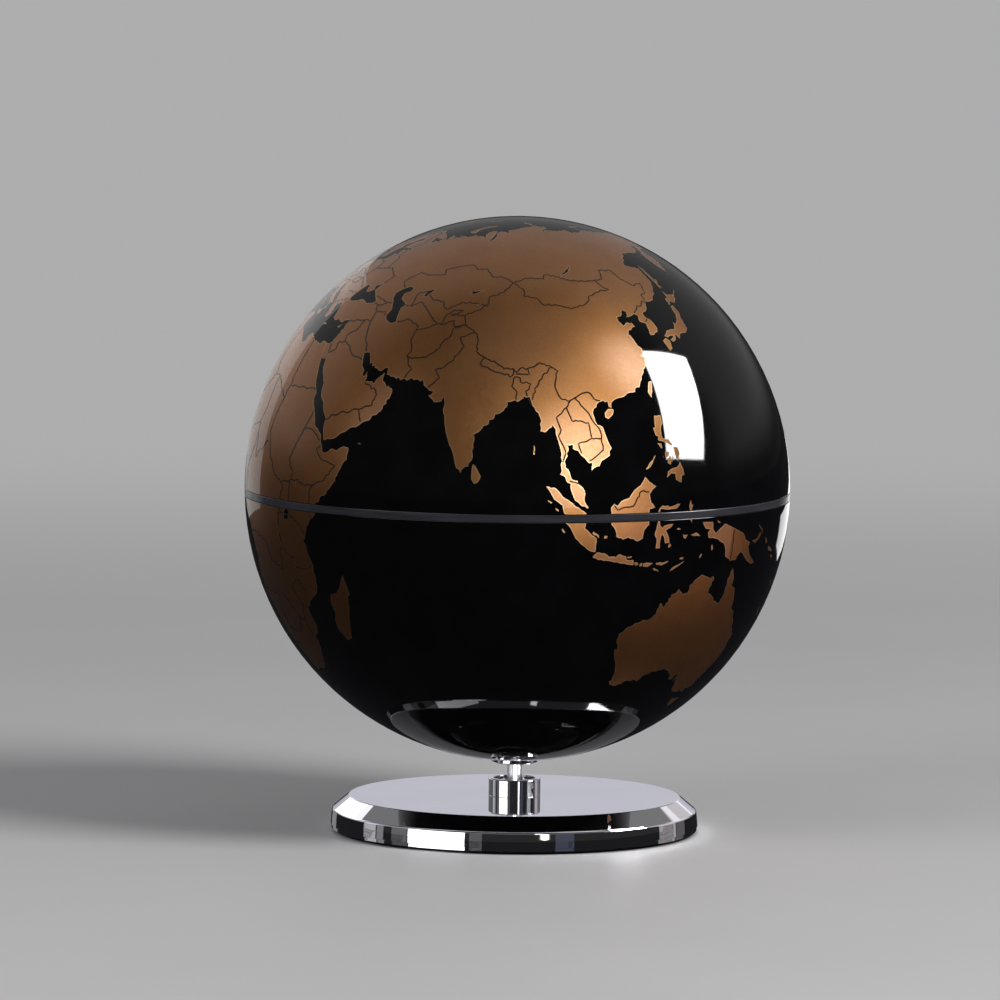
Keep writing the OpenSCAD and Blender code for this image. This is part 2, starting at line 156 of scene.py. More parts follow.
AFRICA = [
    (32.6, 29.9), (32.4, 31.2), (30.8, 31.6), (29.3, 30.9), (25.1, 31.6), (23.1, 32.5), (21.7, 32.9),
    (20.1, 32.2), (20.0, 30.9), (18.8, 30.3), (15.4, 32.0), (13.2, 32.9), (11.3, 33.2), (10.1, 34.2),
    (11.0, 35.6), (11.0, 37.0), (9.8, 37.3), (5.5, 36.8), (2.8, 36.8), (-0.8, 35.7), (-2.1, 35.1),
    (-5.4, 35.9), (-6.5, 34.4), (-8.5, 33.3), (-9.8, 31.4), (-9.7, 29.9), (-12.9, 27.9),
    (-14.8, 25.6), (-16.0, 23.7), (-17.1, 20.9), (-16.2, 19.2), (-16.6, 15.9), (-17.4, 14.7),
    (-16.7, 12.4), (-15.0, 10.8), (-13.2, 8.9), (-11.4, 6.8), (-9.0, 5.0), (-7.6, 4.4), (-4.0, 5.3),
    (-2.0, 4.8), (1.2, 6.0), (4.4, 6.3), (6.0, 4.3), (8.5, 4.6), (9.7, 3.8), (9.5, 0.9), (8.8, -0.7),
    (11.2, -4.0), (12.3, -6.1), (13.3, -8.8), (13.8, -10.8), (12.5, -13.4), (11.8, -16.3),
    (12.0, -18.5), (14.4, -22.5), (15.1, -26.6), (16.6, -28.9), (18.2, -31.8), (18.4, -34.1),
    (20.0, -34.8), (22.5, -34.1), (25.7, -34.0), (28.3, -32.8), (30.9, -29.9), (32.6, -27.8),
    (32.8, -25.9), (35.4, -24.0), (35.4, -22.0), (34.8, -19.9), (36.9, -17.9), (39.9, -16.2),
    (40.7, -14.8), (40.5, -10.8), (39.5, -8.2), (39.3, -6.8), (38.8, -5.9), (39.7, -4.0), (40.4, -2.5),
    (41.9, -1.2), (43.5, 0.6), (46.0, 2.5), (48.0, 4.6), (49.3, 7.2), (50.8, 9.4), (51.2, 11.8),
    (48.5, 11.3), (45.5, 10.7), (44.2, 10.4), (43.2, 11.5), (42.8, 12.9), (41.2, 14.6), (39.6, 15.4),
    (38.6, 17.9), (37.3, 19.6), (37.2, 21.2), (35.6, 23.9), (34.3, 26.0), (33.5, 27.8),
]
NORTH_AMERICA = [
    # Arctic coast from the Bering Strait, and Hudson Bay
    (-168.1, 65.6), (-164.0, 66.5), (-162.0, 66.1), (-163.6, 67.2), (-166.6, 68.4), (-163.2, 69.4),
    (-156.6, 71.3), (-150.5, 70.5), (-141.0, 69.6), (-135.5, 69.2), (-128.3, 70.5), (-124.5, 70.0),
    (-115.5, 68.6), (-108.8, 67.6), (-102.0, 67.8), (-96.0, 67.6), (-94.6, 71.8), (-91.8, 69.6),
    (-88.0, 68.5), (-85.5, 69.6), (-81.8, 69.1), (-81.5, 67.6), (-86.4, 66.4), (-87.0, 64.8),
    (-93.5, 61.7), (-94.8, 58.9), (-92.5, 57.0), (-85.5, 55.4), (-82.2, 54.9), (-82.0, 52.9),
    (-79.3, 51.3), (-79.3, 54.6), (-76.7, 56.6), (-77.6, 60.2), (-78.0, 62.4), (-73.8, 62.4),
    (-70.0, 61.0), (-69.0, 58.9), (-66.0, 58.8), (-64.6, 60.3), (-61.9, 57.4), (-57.8, 54.8),
    # The east coast and the Gulf of Mexico
    (-55.8, 52.5), (-60.0, 50.2), (-66.5, 50.2), (-70.8, 47.0), (-65.0, 49.1), (-64.8, 47.0),
    (-61.2, 45.6), (-65.8, 43.6), (-65.2, 45.3), (-68.6, 44.3), (-70.8, 42.9), (-70.0, 41.8),
    (-74.0, 40.7), (-75.2, 38.5), (-76.2, 37.0), (-75.7, 35.4), (-78.3, 33.9), (-81.2, 31.6),
    (-80.3, 27.2), (-80.5, 25.3), (-81.9, 26.2), (-82.8, 28.2), (-84.1, 30.1), (-86.5, 30.4),
    (-89.3, 30.2), (-89.4, 29.2), (-94.4, 29.5), (-97.2, 27.7), (-97.6, 25.0), (-97.8, 22.3),
    (-96.2, 19.2), (-94.5, 18.2), (-91.8, 18.5), (-90.4, 21.1), (-87.0, 21.5), (-87.8, 18.4),
    (-88.7, 15.9), (-86.0, 15.9), (-83.3, 15.0), (-83.7, 11.2), (-81.9, 9.0), (-79.6, 9.5),
    # The Pacific side, from Panama north
    (-77.4, 8.7), (-77.8, 7.4), (-79.5, 8.9), (-80.4, 7.4), (-82.9, 8.2), (-85.8, 10.2),
    (-87.6, 13.0), (-91.5, 14.0), (-94.7, 16.2), (-98.5, 16.3), (-102.2, 17.9), (-105.5, 20.3),
    (-105.8, 22.5), (-109.4, 25.7), (-112.3, 28.9), (-114.8, 31.6), (-113.0, 28.4), (-111.0, 25.6),
    (-109.5, 23.1), (-112.2, 25.2), (-115.0, 27.9), (-117.1, 32.5), (-118.6, 34.0), (-120.6, 34.6),
    (-122.5, 37.6), (-124.3, 40.4), (-124.0, 44.5), (-124.6, 48.3), (-122.8, 49.1), (-127.7, 51.3),
    (-130.4, 54.6), (-134.0, 57.6), (-137.0, 58.8), (-141.5, 60.1), (-146.5, 60.9), (-151.6, 59.3),
    (-150.8, 61.0), (-154.2, 59.3), (-157.0, 57.4), (-163.5, 54.7), (-160.5, 56.0), (-157.4, 58.7),
    (-162.0, 58.7), (-165.2, 60.7), (-164.8, 63.0), (-161.0, 63.8), (-161.0, 64.8), (-166.3, 64.6),
]
SOUTH_AMERICA = [
    (-77.4, 8.7), (-75.6, 10.6), (-73.8, 11.3), (-71.7, 12.4), (-71.5, 10.0), (-70.1, 11.8),
    (-68.2, 10.6), (-64.4, 10.2), (-61.9, 10.7), (-60.8, 8.6), (-57.3, 6.2), (-53.8, 5.7),
    (-51.4, 4.2), (-50.2, 1.6), (-50.8, -0.4), (-48.2, -0.8), (-44.4, -2.6), (-40.0, -2.9),
    (-37.0, -4.8), (-35.2, -5.4), (-34.9, -8.2), (-37.2, -11.6), (-39.0, -13.8), (-39.4, -17.8),
    (-41.0, -22.0), (-44.6, -23.2), (-48.3, -25.6), (-48.7, -28.4), (-52.2, -32.4), (-54.6, -34.8),
    (-58.3, -34.1), (-57.0, -36.6), (-58.2, -38.3), (-62.2, -38.9), (-62.4, -40.9), (-65.0, -41.0),
    (-63.8, -42.7), (-65.4, -44.9), (-67.5, -46.2), (-65.9, -47.8), (-69.0, -50.4), (-68.4, -52.4),
    (-71.0, -53.8), (-73.6, -52.6), (-75.4, -50.0), (-75.4, -46.8), (-73.0, -44.6), (-73.0, -41.8),
    (-73.7, -39.6), (-73.4, -37.2), (-71.6, -33.4), (-71.4, -29.6), (-70.5, -25.2), (-70.2, -18.6),
    (-73.0, -16.6), (-76.2, -14.0), (-77.2, -12.0), (-79.6, -7.6), (-81.2, -6.0), (-81.3, -4.4),
    (-79.9, -2.6), (-80.9, -1.0), (-79.9, 0.8), (-78.6, 2.2), (-77.3, 3.9), (-77.8, 7.4),
]
AUSTRALIA = [
    (142.5, -10.7), (143.5, -12.7), (143.7, -14.3), (145.2, -15.0), (145.9, -17.0), (146.6, -19.1),
    (148.5, -20.1), (149.3, -21.5), (150.8, -23.2), (153.0, -25.2), (153.2, -27.6), (153.5, -28.9),
    (152.8, -31.6), (151.5, -33.2), (150.2, -35.8), (149.9, -37.5), (147.4, -38.0), (146.4, -39.1),
    (144.9, -38.0), (143.5, -38.8), (140.6, -38.0), (139.7, -36.9), (138.6, -35.6), (138.2, -34.4),
    (137.1, -35.2), (137.9, -32.8), (136.6, -34.0), (135.8, -34.8), (134.3, -33.2), (133.3, -32.2),
    (131.1, -31.5), (128.8, -31.8), (126.0, -32.3), (123.8, -33.9), (120.0, -33.9), (117.9, -35.1),
    (116.4, -35.0), (115.0, -34.3), (115.7, -33.0), (115.7, -31.6), (114.9, -29.6), (114.0, -27.8),
    (113.4, -26.2), (114.2, -25.9), (113.5, -24.6), (113.7, -22.6), (114.3, -22.1), (116.8, -20.7),
    (119.0, -20.1), (121.2, -19.5), (122.3, -18.1), (122.3, -17.1), (123.0, -16.5), (123.6, -17.5),
    (124.5, -16.3), (125.2, -15.0), (126.8, -14.0), (128.1, -14.9), (129.5, -14.9), (129.9, -13.4),
    (130.9, -12.4), (132.6, -11.4), (135.0, -12.1), (136.8, -12.2), (136.1, -13.6), (135.6, -14.9),
    (137.6, -16.1), (139.3, -17.4), (140.8, -17.5), (141.6, -15.2), (141.7, -12.8), (142.2, -11.0),
]
GREENLAND = [
    (-73.0, 78.2), (-67.0, 80.2), (-60.0, 82.0), (-45.0, 82.6), (-32.0, 83.6), (-21.5, 82.4),
    (-12.5, 81.4), (-18.5, 79.6), (-18.5, 77.0), (-20.0, 74.5), (-22.0, 72.0), (-22.2, 70.3),
    (-26.5, 68.4), (-33.0, 67.6), (-38.0, 65.7), (-41.2, 63.2), (-43.4, 60.1), (-48.2, 61.0),
    (-51.2, 63.6), (-53.6, 67.0), (-51.0, 69.4), (-54.6, 71.0), (-56.0, 73.5), (-61.0, 76.0),
    (-69.0, 76.1),
]
ISLANDS = [
    # Indonesia
    [(95.3, 5.6), (97.5, 5.2), (98.8, 3.6), (100.3, 2.6), (102.0, 1.3), (103.7, 0.2), (103.5, -1.0),
     (105.0, -2.4), (106.0, -3.1), (105.8, -5.8), (104.6, -5.7), (103.0, -4.5), (101.6, -3.2),
     (100.4, -0.9), (99.1, 0.3), (98.7, 1.8), (97.0, 3.1)],
    [(105.2, -6.8), (106.2, -5.9), (108.3, -6.3), (108.8, -6.8), (110.4, -6.9), (111.0, -6.4),
     (112.6, -6.9), (112.9, -7.6), (114.4, -7.7), (114.5, -8.7), (112.0, -8.3), (108.9, -7.7),
     (106.5, -7.4)],
    [(109.6, 2.0), (110.4, 1.6), (111.2, 2.5), (113.0, 3.2), (114.2, 4.6), (115.6, 5.5), (116.8, 7.0),
     (117.7, 6.2), (119.2, 5.2), (118.0, 4.2), (117.6, 3.3), (118.0, 2.0), (119.0, 1.0), (117.6, 0.6),
     (117.5, -0.7), (116.4, -1.8), (116.2, -3.4), (115.0, -4.0), (114.5, -3.6), (113.0, -3.2),
     (111.7, -3.4), (110.2, -2.9), (110.0, -1.4), (109.1, -0.4), (109.0, 1.2)],
    [(125.1, 1.6), (124.3, 0.5), (121.5, 0.5), (120.2, 0.6), (120.1, -0.9), (120.8, -1.4),
     (121.6, -0.9), (123.4, -0.7), (122.9, -1.4), (121.6, -1.9), (122.4, -3.3), (122.6, -4.5),
     (121.6, -4.6), (121.3, -3.3), (120.9, -2.7), (120.4, -3.4), (120.4, -5.5), (119.5, -5.5),
     (119.5, -3.5), (118.9, -2.8), (119.5, -1.0), (119.8, 0.6), (120.8, 1.3), (123.0, 1.0),
     (124.4, 1.4)],
    [(131.2, -0.8), (134.1, -0.9), (134.3, -2.4), (135.2, -3.3), (137.9, -1.5), (141.0, -2.6),
     (144.5, -3.9), (145.8, -5.4), (147.7, -6.0), (147.0, -6.8), (148.3, -8.6), (150.8, -10.3),
     (149.8, -10.5), (147.3, -9.6), (146.0, -8.6), (144.4, -7.6), (143.2, -8.4), (142.9, -9.2),
     (141.0, -9.1), (139.0, -8.1), (138.8, -7.0), (138.0, -5.5), (135.5, -4.4), (133.0, -4.0),
     (132.8, -2.9), (133.7, -2.4), (132.2, -2.2)],
    [(127.4, 1.0), (127.9, 2.1), (128.0, 1.0), (128.7, 1.3), (128.1, 0.4), (128.3, -0.8), (127.7, 0.1)],
    [(128.0, -3.2), (129.5, -2.8), (130.8, -3.5), (129.0, -3.5)],
    [(126.1, -3.1), (127.2, -3.2), (126.8, -3.9), (126.1, -3.6)],
    [(123.5, -10.3), (124.4, -9.3), (127.0, -8.4), (126.0, -9.1)],
    [(119.8, -8.4), (121.4, -8.4), (122.9, -8.2), (121.6, -8.9), (120.0, -8.8)],
    [(116.8, -8.5), (117.9, -8.3), (119.0, -8.4), (117.8, -9.1), (116.8, -9.0)],
    [(119.0, -9.5), (120.1, -9.6), (120.8, -10.2), (119.6, -9.9)],
    [(116.0, -8.4), (116.6, -8.3), (116.5, -8.9), (116.0, -8.9)],
    [(114.6, -8.2), (115.3, -8.1), (115.6, -8.5), (115.1, -8.8)],
    [(112.8, -7.0), (114.0, -6.9), (113.9, -7.2), (112.8, -7.2)],
    [(105.2, -1.7), (106.4, -2.5), (106.5, -3.1), (105.9, -2.6), (105.1, -2.2)],
    [(107.6, -2.6), (108.3, -2.7), (108.1, -3.2), (107.6, -3.1)],
    [(98.7, -1.0), (99.4, -1.8), (99.1, -2.0), (98.6, -1.4)],
    [(97.2, 1.4), (97.8, 1.0), (97.9, 0.6), (97.4, 0.9)],
    [(95.8, 2.9), (96.5, 2.4), (96.3, 2.3), (95.7, 2.7)],
    [(123.0, -4.6), (123.2, -5.2), (122.7, -5.6), (122.4, -5.2)],
    [(124.4, -1.7), (125.3, -1.7), (125.3, -2.0), (124.4, -2.0)],
    [(134.4, -5.5), (134.8, -6.2), (134.4, -6.8), (134.1, -6.2)],
    [(131.2, -7.3), (131.7, -7.1), (131.4, -8.0), (131.0, -8.0)],
    [(125.8, -7.7), (126.8, -7.6), (126.5, -8.0), (125.8, -8.0)],
    [(135.6, -0.7), (136.4, -1.1), (136.2, -1.3), (135.7, -1.1)],
    # Melanesia
    [(148.4, -5.7), (150.2, -5.5), (151.6, -4.3), (152.3, -4.4), (151.4, -5.5), (149.8, -6.3)],
    [(150.8, -2.6), (152.4, -3.6), (153.0, -4.6), (152.5, -4.0), (150.9, -2.9)],
    [(154.7, -5.5), (155.9, -6.5), (155.4, -6.8), (154.8, -6.0)],
    [(157.0, -7.4), (159.8, -8.5), (159.5, -8.8), (157.2, -8.2)],
    [(159.6, -9.3), (160.8, -9.9), (160.4, -10.1), (159.6, -9.8)],
    [(164.0, -20.1), (166.9, -22.2), (166.4, -22.3), (164.2, -20.7)],
    [(166.6, -14.8), (167.2, -15.5), (167.7, -16.4), (167.2, -16.2), (166.6, -15.5)],
    [(177.3, -17.6), (178.5, -17.7), (178.5, -18.2), (177.5, -18.2)],
    [(178.7, -16.7), (179.9, -16.3), (179.5, -16.8), (178.8, -17.0)],
    # The Philippines, Taiwan and Hainan
    [(120.6, 18.5), (122.2, 18.5), (122.3, 17.0), (121.6, 15.8), (121.8, 14.2), (123.2, 14.0),
     (124.1, 12.9), (123.7, 12.9), (122.6, 13.4), (121.6, 13.7), (120.6, 13.9), (120.9, 14.6),
     (120.2, 14.9), (119.8, 16.2), (120.3, 16.4), (120.4, 17.6)],
    [(122.0, 6.9), (122.3, 8.0), (123.6, 8.6), (124.7, 8.6), (125.5, 9.7), (126.3, 8.4), (126.5, 7.1),
     (125.7, 7.0), (125.5, 5.7), (124.2, 6.3), (124.0, 7.5), (123.2, 7.6)],
    [(124.3, 12.5), (125.4, 12.4), (125.7, 11.2), (125.2, 10.2), (124.8, 10.2), (124.5, 11.4)],
    [(122.0, 11.8), (123.1, 11.5), (122.4, 10.6), (122.0, 10.6)],
    [(122.5, 10.2), (123.2, 10.9), (123.5, 10.6), (123.2, 9.2), (122.5, 9.6)],
    [(123.5, 9.7), (124.0, 11.2), (123.9, 10.2)],
    [(120.4, 13.4), (121.3, 13.3), (121.4, 12.5), (121.1, 12.3)],
    [(117.2, 8.4), (118.5, 9.3), (119.6, 11.2), (119.2, 10.8), (118.0, 9.6), (117.1, 8.7)],
    [(121.0, 25.0), (121.9, 25.1), (121.5, 23.6), (120.9, 22.0), (120.2, 23.0)],
    [(108.7, 19.3), (109.6, 20.0), (110.9, 20.0), (110.5, 18.9), (109.4, 18.2), (108.7, 18.5)],
    # Japan and Sakhalin
    [(129.7, 33.2), (130.8, 33.9), (131.9, 33.2), (131.5, 31.5), (130.7, 31.1), (130.2, 32.2)],
    [(132.4, 33.4), (134.4, 34.3), (134.6, 33.9), (134.1, 33.3), (133.0, 32.8)],
    [(130.9, 34.3), (132.5, 35.4), (134.5, 35.7), (135.9, 35.7), (136.7, 37.3), (137.3, 36.8),
     (138.8, 37.8), (139.9, 39.2), (139.9, 40.6), (140.4, 41.2), (141.4, 41.4), (142.0, 39.6),
     (141.0, 38.2), (140.9, 36.9), (140.8, 35.7), (139.9, 35.0), (138.8, 34.7), (137.0, 34.6),
     (136.3, 34.0), (135.8, 33.5), (135.1, 34.3), (133.0, 34.3), (131.8, 33.9)],
    [(140.0, 41.5), (140.3, 43.3), (141.6, 43.4), (141.7, 45.4), (143.0, 44.4), (145.3, 44.2),
     (145.4, 43.2), (143.3, 42.0), (141.6, 42.6), (141.0, 42.2), (141.0, 41.8)],
    [(142.0, 46.0), (142.1, 48.5), (142.0, 51.5), (142.7, 54.3), (143.3, 52.5), (143.2, 49.3),
     (144.6, 49.0), (142.9, 47.6), (143.4, 46.2), (142.6, 46.7)],
    [(145.5, 43.8), (146.5, 44.4), (146.0, 44.2)],
    [(147.0, 44.6), (148.8, 45.4), (147.9, 45.3)],
    [(155.3, 50.1), (156.1, 50.7), (155.9, 50.3)],
    # The Indian Ocean
    [(79.8, 8.2), (80.1, 9.7), (81.2, 8.6), (81.9, 7.4), (81.3, 6.3), (80.5, 5.9), (79.9, 6.9)],
    [(49.3, -12.0), (50.4, -15.6), (49.6, -16.3), (49.3, -18.4), (47.8, -22.5), (47.0, -25.0),
     (45.4, -25.6), (43.7, -23.6), (43.4, -21.8), (44.4, -20.0), (44.0, -17.6), (44.5, -16.2),
     (46.3, -15.8), (47.6, -14.8), (48.4, -13.4)],
    [(92.7, 12.0), (92.9, 13.5), (93.0, 12.4), (92.8, 11.6)],
    [(53.4, 12.6), (54.4, 12.6), (53.9, 12.3)],
    [(69.0, -49.0), (70.3, -49.2), (69.6, -49.7), (68.8, -49.6)],
    [(144.7, -40.7), (146.5, -41.1), (148.3, -40.9), (148.1, -42.2), (146.9, -43.6), (145.5, -42.6)],
    [(172.7, -34.5), (174.3, -35.4), (175.5, -36.7), (176.2, -37.7), (178.5, -37.7), (177.2, -39.4),
     (175.4, -41.6), (174.9, -41.2), (175.0, -40.0), (173.8, -39.3), (174.8, -38.0), (174.4, -36.5)],
    [(172.7, -40.6), (174.2, -41.4), (172.8, -43.5), (171.2, -44.4), (170.7, -46.0), (168.6, -46.6),
     (166.6, -46.0), (168.2, -44.1), (170.8, -42.7), (172.0, -41.4)],
    # The Arctic
    [(51.6, 71.5), (53.5, 73.2), (56.0, 74.8), (60.0, 76.1), (68.5, 77.0), (67.0, 76.1),
     (60.5, 75.0), (57.5, 73.4), (57.3, 70.8), (54.0, 70.8)],
    [(95.5, 79.0), (95.0, 80.8), (99.0, 80.0), (104.5, 78.9), (101.0, 78.0), (99.0, 79.2)],
    [(137.5, 75.6), (142.0, 76.0), (150.0, 75.2), (143.0, 74.9), (139.5, 74.8)],
    [(139.5, 73.6), (143.3, 73.4), (142.0, 73.2), (140.0, 73.3)],
    [(178.8, 71.0), (181.5, 71.5), (182.2, 71.0), (180.0, 70.8)],
    [(11.0, 79.6), (18.0, 80.2), (21.5, 78.6), (17.0, 76.8), (14.0, 77.6)],
    [(18.5, 79.8), (24.0, 80.3), (26.5, 79.8), (21.0, 79.2)],
    [(46.0, 80.6), (56.0, 81.2), (64.0, 80.9), (55.0, 80.2)],
    [(48.3, 69.2), (50.2, 69.1), (49.0, 68.8)],
    # Europe
    [(-5.5, 50.1), (-4.2, 51.2), (-5.1, 51.8), (-4.5, 53.1), (-3.1, 53.4), (-3.4, 54.9), (-5.6, 56.0),
     (-5.8, 57.6), (-5.0, 58.6), (-3.1, 58.6), (-4.0, 57.6), (-1.8, 57.5), (-2.9, 56.2), (-1.5, 55.2),
     (0.2, 53.2), (1.7, 52.7), (1.0, 51.6), (1.3, 51.1), (-1.3, 50.6), (-3.5, 50.3)],
    [(-10.0, 51.7), (-9.9, 53.4), (-10.0, 54.2), (-8.3, 55.1), (-6.2, 55.1), (-5.6, 54.4),
     (-6.2, 53.4), (-6.4, 52.2), (-8.5, 51.7)],
    [(-22.5, 64.0), (-24.3, 65.5), (-22.0, 66.4), (-20.3, 65.8), (-16.2, 66.5), (-13.7, 65.0),
     (-18.7, 63.4)],
    [(12.5, 38.0), (15.5, 38.2), (15.1, 36.7), (12.6, 37.5)],
    [(8.3, 40.9), (9.6, 41.1), (9.6, 39.2), (8.5, 39.0)],
    [(8.7, 42.5), (9.4, 43.0), (9.4, 41.8), (8.8, 41.6)],
    [(23.6, 35.5), (26.3, 35.3), (25.0, 35.0)],
    [(32.4, 35.0), (34.4, 35.6), (33.5, 34.7)],
    # The Americas
    [(-59.4, 47.8), (-57.0, 51.3), (-55.6, 51.5), (-53.0, 48.4), (-53.4, 46.7), (-56.0, 46.9)],
    [(-88.0, 73.6), (-80.5, 73.6), (-76.0, 72.7), (-68.0, 70.4), (-62.0, 66.6), (-65.5, 63.0),
     (-71.5, 64.2), (-77.5, 64.3), (-73.0, 67.0), (-77.0, 69.8), (-85.0, 70.2)],
    [(-90.0, 76.6), (-88.0, 79.5), (-92.0, 81.4), (-78.0, 83.0), (-62.0, 82.5), (-71.0, 79.4),
     (-79.0, 76.2)],
    [(-118.0, 71.0), (-117.5, 72.8), (-108.0, 73.2), (-104.0, 71.0), (-101.5, 69.2), (-114.0, 69.3)],
    [(-125.0, 71.9), (-124.0, 74.3), (-118.0, 73.6), (-122.5, 71.3)],
    [(-122.0, 76.2), (-110.0, 76.6), (-99.0, 75.6), (-93.0, 76.8), (-94.0, 74.9), (-110.0, 74.9)],
    [(-87.0, 65.6), (-84.0, 65.9), (-80.5, 64.0), (-84.5, 63.2), (-87.0, 63.7)],
    [(-84.9, 21.9), (-82.5, 23.1), (-79.5, 22.8), (-75.5, 20.8), (-74.3, 20.2), (-77.6, 19.9),
     (-78.2, 20.8), (-82.0, 22.4)],
    [(-74.3, 18.4), (-72.8, 19.9), (-69.9, 19.7), (-68.4, 18.6), (-71.4, 17.7)],
    [(-78.3, 18.3), (-76.3, 18.1), (-77.3, 17.8)],
    [(-67.2, 18.4), (-65.7, 18.4), (-66.0, 18.0), (-67.1, 18.0)],
    [(-68.7, -52.8), (-65.2, -54.7), (-68.5, -55.4), (-71.8, -54.2), (-70.2, -53.5)],
    [(-61.0, -51.5), (-58.0, -51.6), (-59.0, -52.2), (-60.8, -52.1)],
    [(-128.2, 50.7), (-125.0, 49.9), (-123.5, 48.4), (-126.8, 49.6)],
    [(-154.8, 57.3), (-152.4, 58.2), (-153.0, 57.1), (-154.3, 56.7)],
    [(-156.0, 20.2), (-155.1, 20.0), (-155.0, 19.3), (-155.8, 19.0)],
    [(-158.3, 21.5), (-157.7, 21.5), (-158.0, 21.2)],
]
INLAND_WATER = [
    # The Caspian, the Aral Sea and the Black Sea with Azov
    [(47.0, 44.6), (49.0, 46.2), (51.4, 47.0), (53.0, 46.7), (53.0, 45.4), (50.9, 44.6), (51.3, 43.2),
     (52.7, 42.6), (54.3, 41.6), (53.0, 40.8), (53.2, 39.4), (53.8, 37.2), (52.0, 36.7), (50.0, 37.4),
     (48.9, 38.6), (49.6, 40.3), (48.6, 41.9), (47.4, 43.2)],
    [(58.3, 44.2), (58.4, 45.8), (60.0, 46.4), (61.7, 46.5), (60.4, 45.0), (59.4, 43.9)],
    [(28.2, 41.6), (27.7, 42.6), (28.7, 43.8), (29.8, 45.3), (30.8, 46.5), (33.0, 46.0), (32.6, 45.3),
     (33.7, 44.4), (36.2, 45.0), (35.2, 46.2), (37.4, 47.0), (39.2, 47.0), (37.8, 46.2), (37.4, 45.0),
     (39.4, 43.7), (41.5, 42.3), (41.4, 41.5), (38.4, 41.0), (35.0, 42.0), (31.4, 41.3), (29.2, 41.2)],
    # Lakes of Asia
    [(103.8, 51.5), (105.8, 52.8), (108.2, 54.4), (109.6, 55.7), (109.6, 54.6), (108.3, 53.0),
     (106.2, 51.9)],
    [(73.6, 45.4), (74.3, 46.3), (77.0, 46.6), (79.2, 46.7), (77.2, 46.2), (75.2, 45.3)],
    [(76.3, 42.3), (78.3, 42.7), (77.0, 42.1)],
    # Lakes of Africa
    [(31.8, -0.4), (33.0, 0.3), (34.2, -0.4), (33.5, -2.2), (31.9, -2.3)],
    [(29.2, -3.6), (29.7, -4.6), (30.5, -7.2), (31.0, -8.7), (30.3, -8.0), (29.2, -5.6)],
    [(34.1, -9.7), (34.9, -11.8), (35.2, -14.2), (34.7, -13.4), (34.1, -11.2)],
    [(35.9, 4.4), (36.3, 3.8), (36.6, 2.6), (36.1, 3.2)],
    # Lakes of Europe and of the Americas
    [(30.8, 61.2), (32.8, 60.6), (31.6, 59.9)],
    [(34.4, 62.6), (36.2, 61.4), (35.2, 60.9)],
    [(-92.0, 46.7), (-88.5, 48.8), (-84.6, 47.6), (-87.0, 46.5)],
    [(-87.8, 42.0), (-87.6, 44.8), (-85.4, 45.8), (-86.3, 43.6), (-86.8, 41.8)],
    [(-84.6, 45.9), (-81.4, 46.0), (-79.9, 44.7), (-81.7, 43.2), (-83.4, 43.9)],
    [(-83.3, 41.8), (-79.2, 42.8), (-81.4, 41.6)],
    [(-79.6, 43.4), (-76.4, 44.0), (-77.6, 43.3)],
    [(-98.6, 53.4), (-97.0, 52.0), (-96.6, 50.5), (-97.6, 51.6)],
    [(-116.8, 61.2), (-111.0, 62.4), (-114.0, 60.9)],
    [(-124.5, 66.6), (-120.0, 66.8), (-121.0, 65.4)],
]

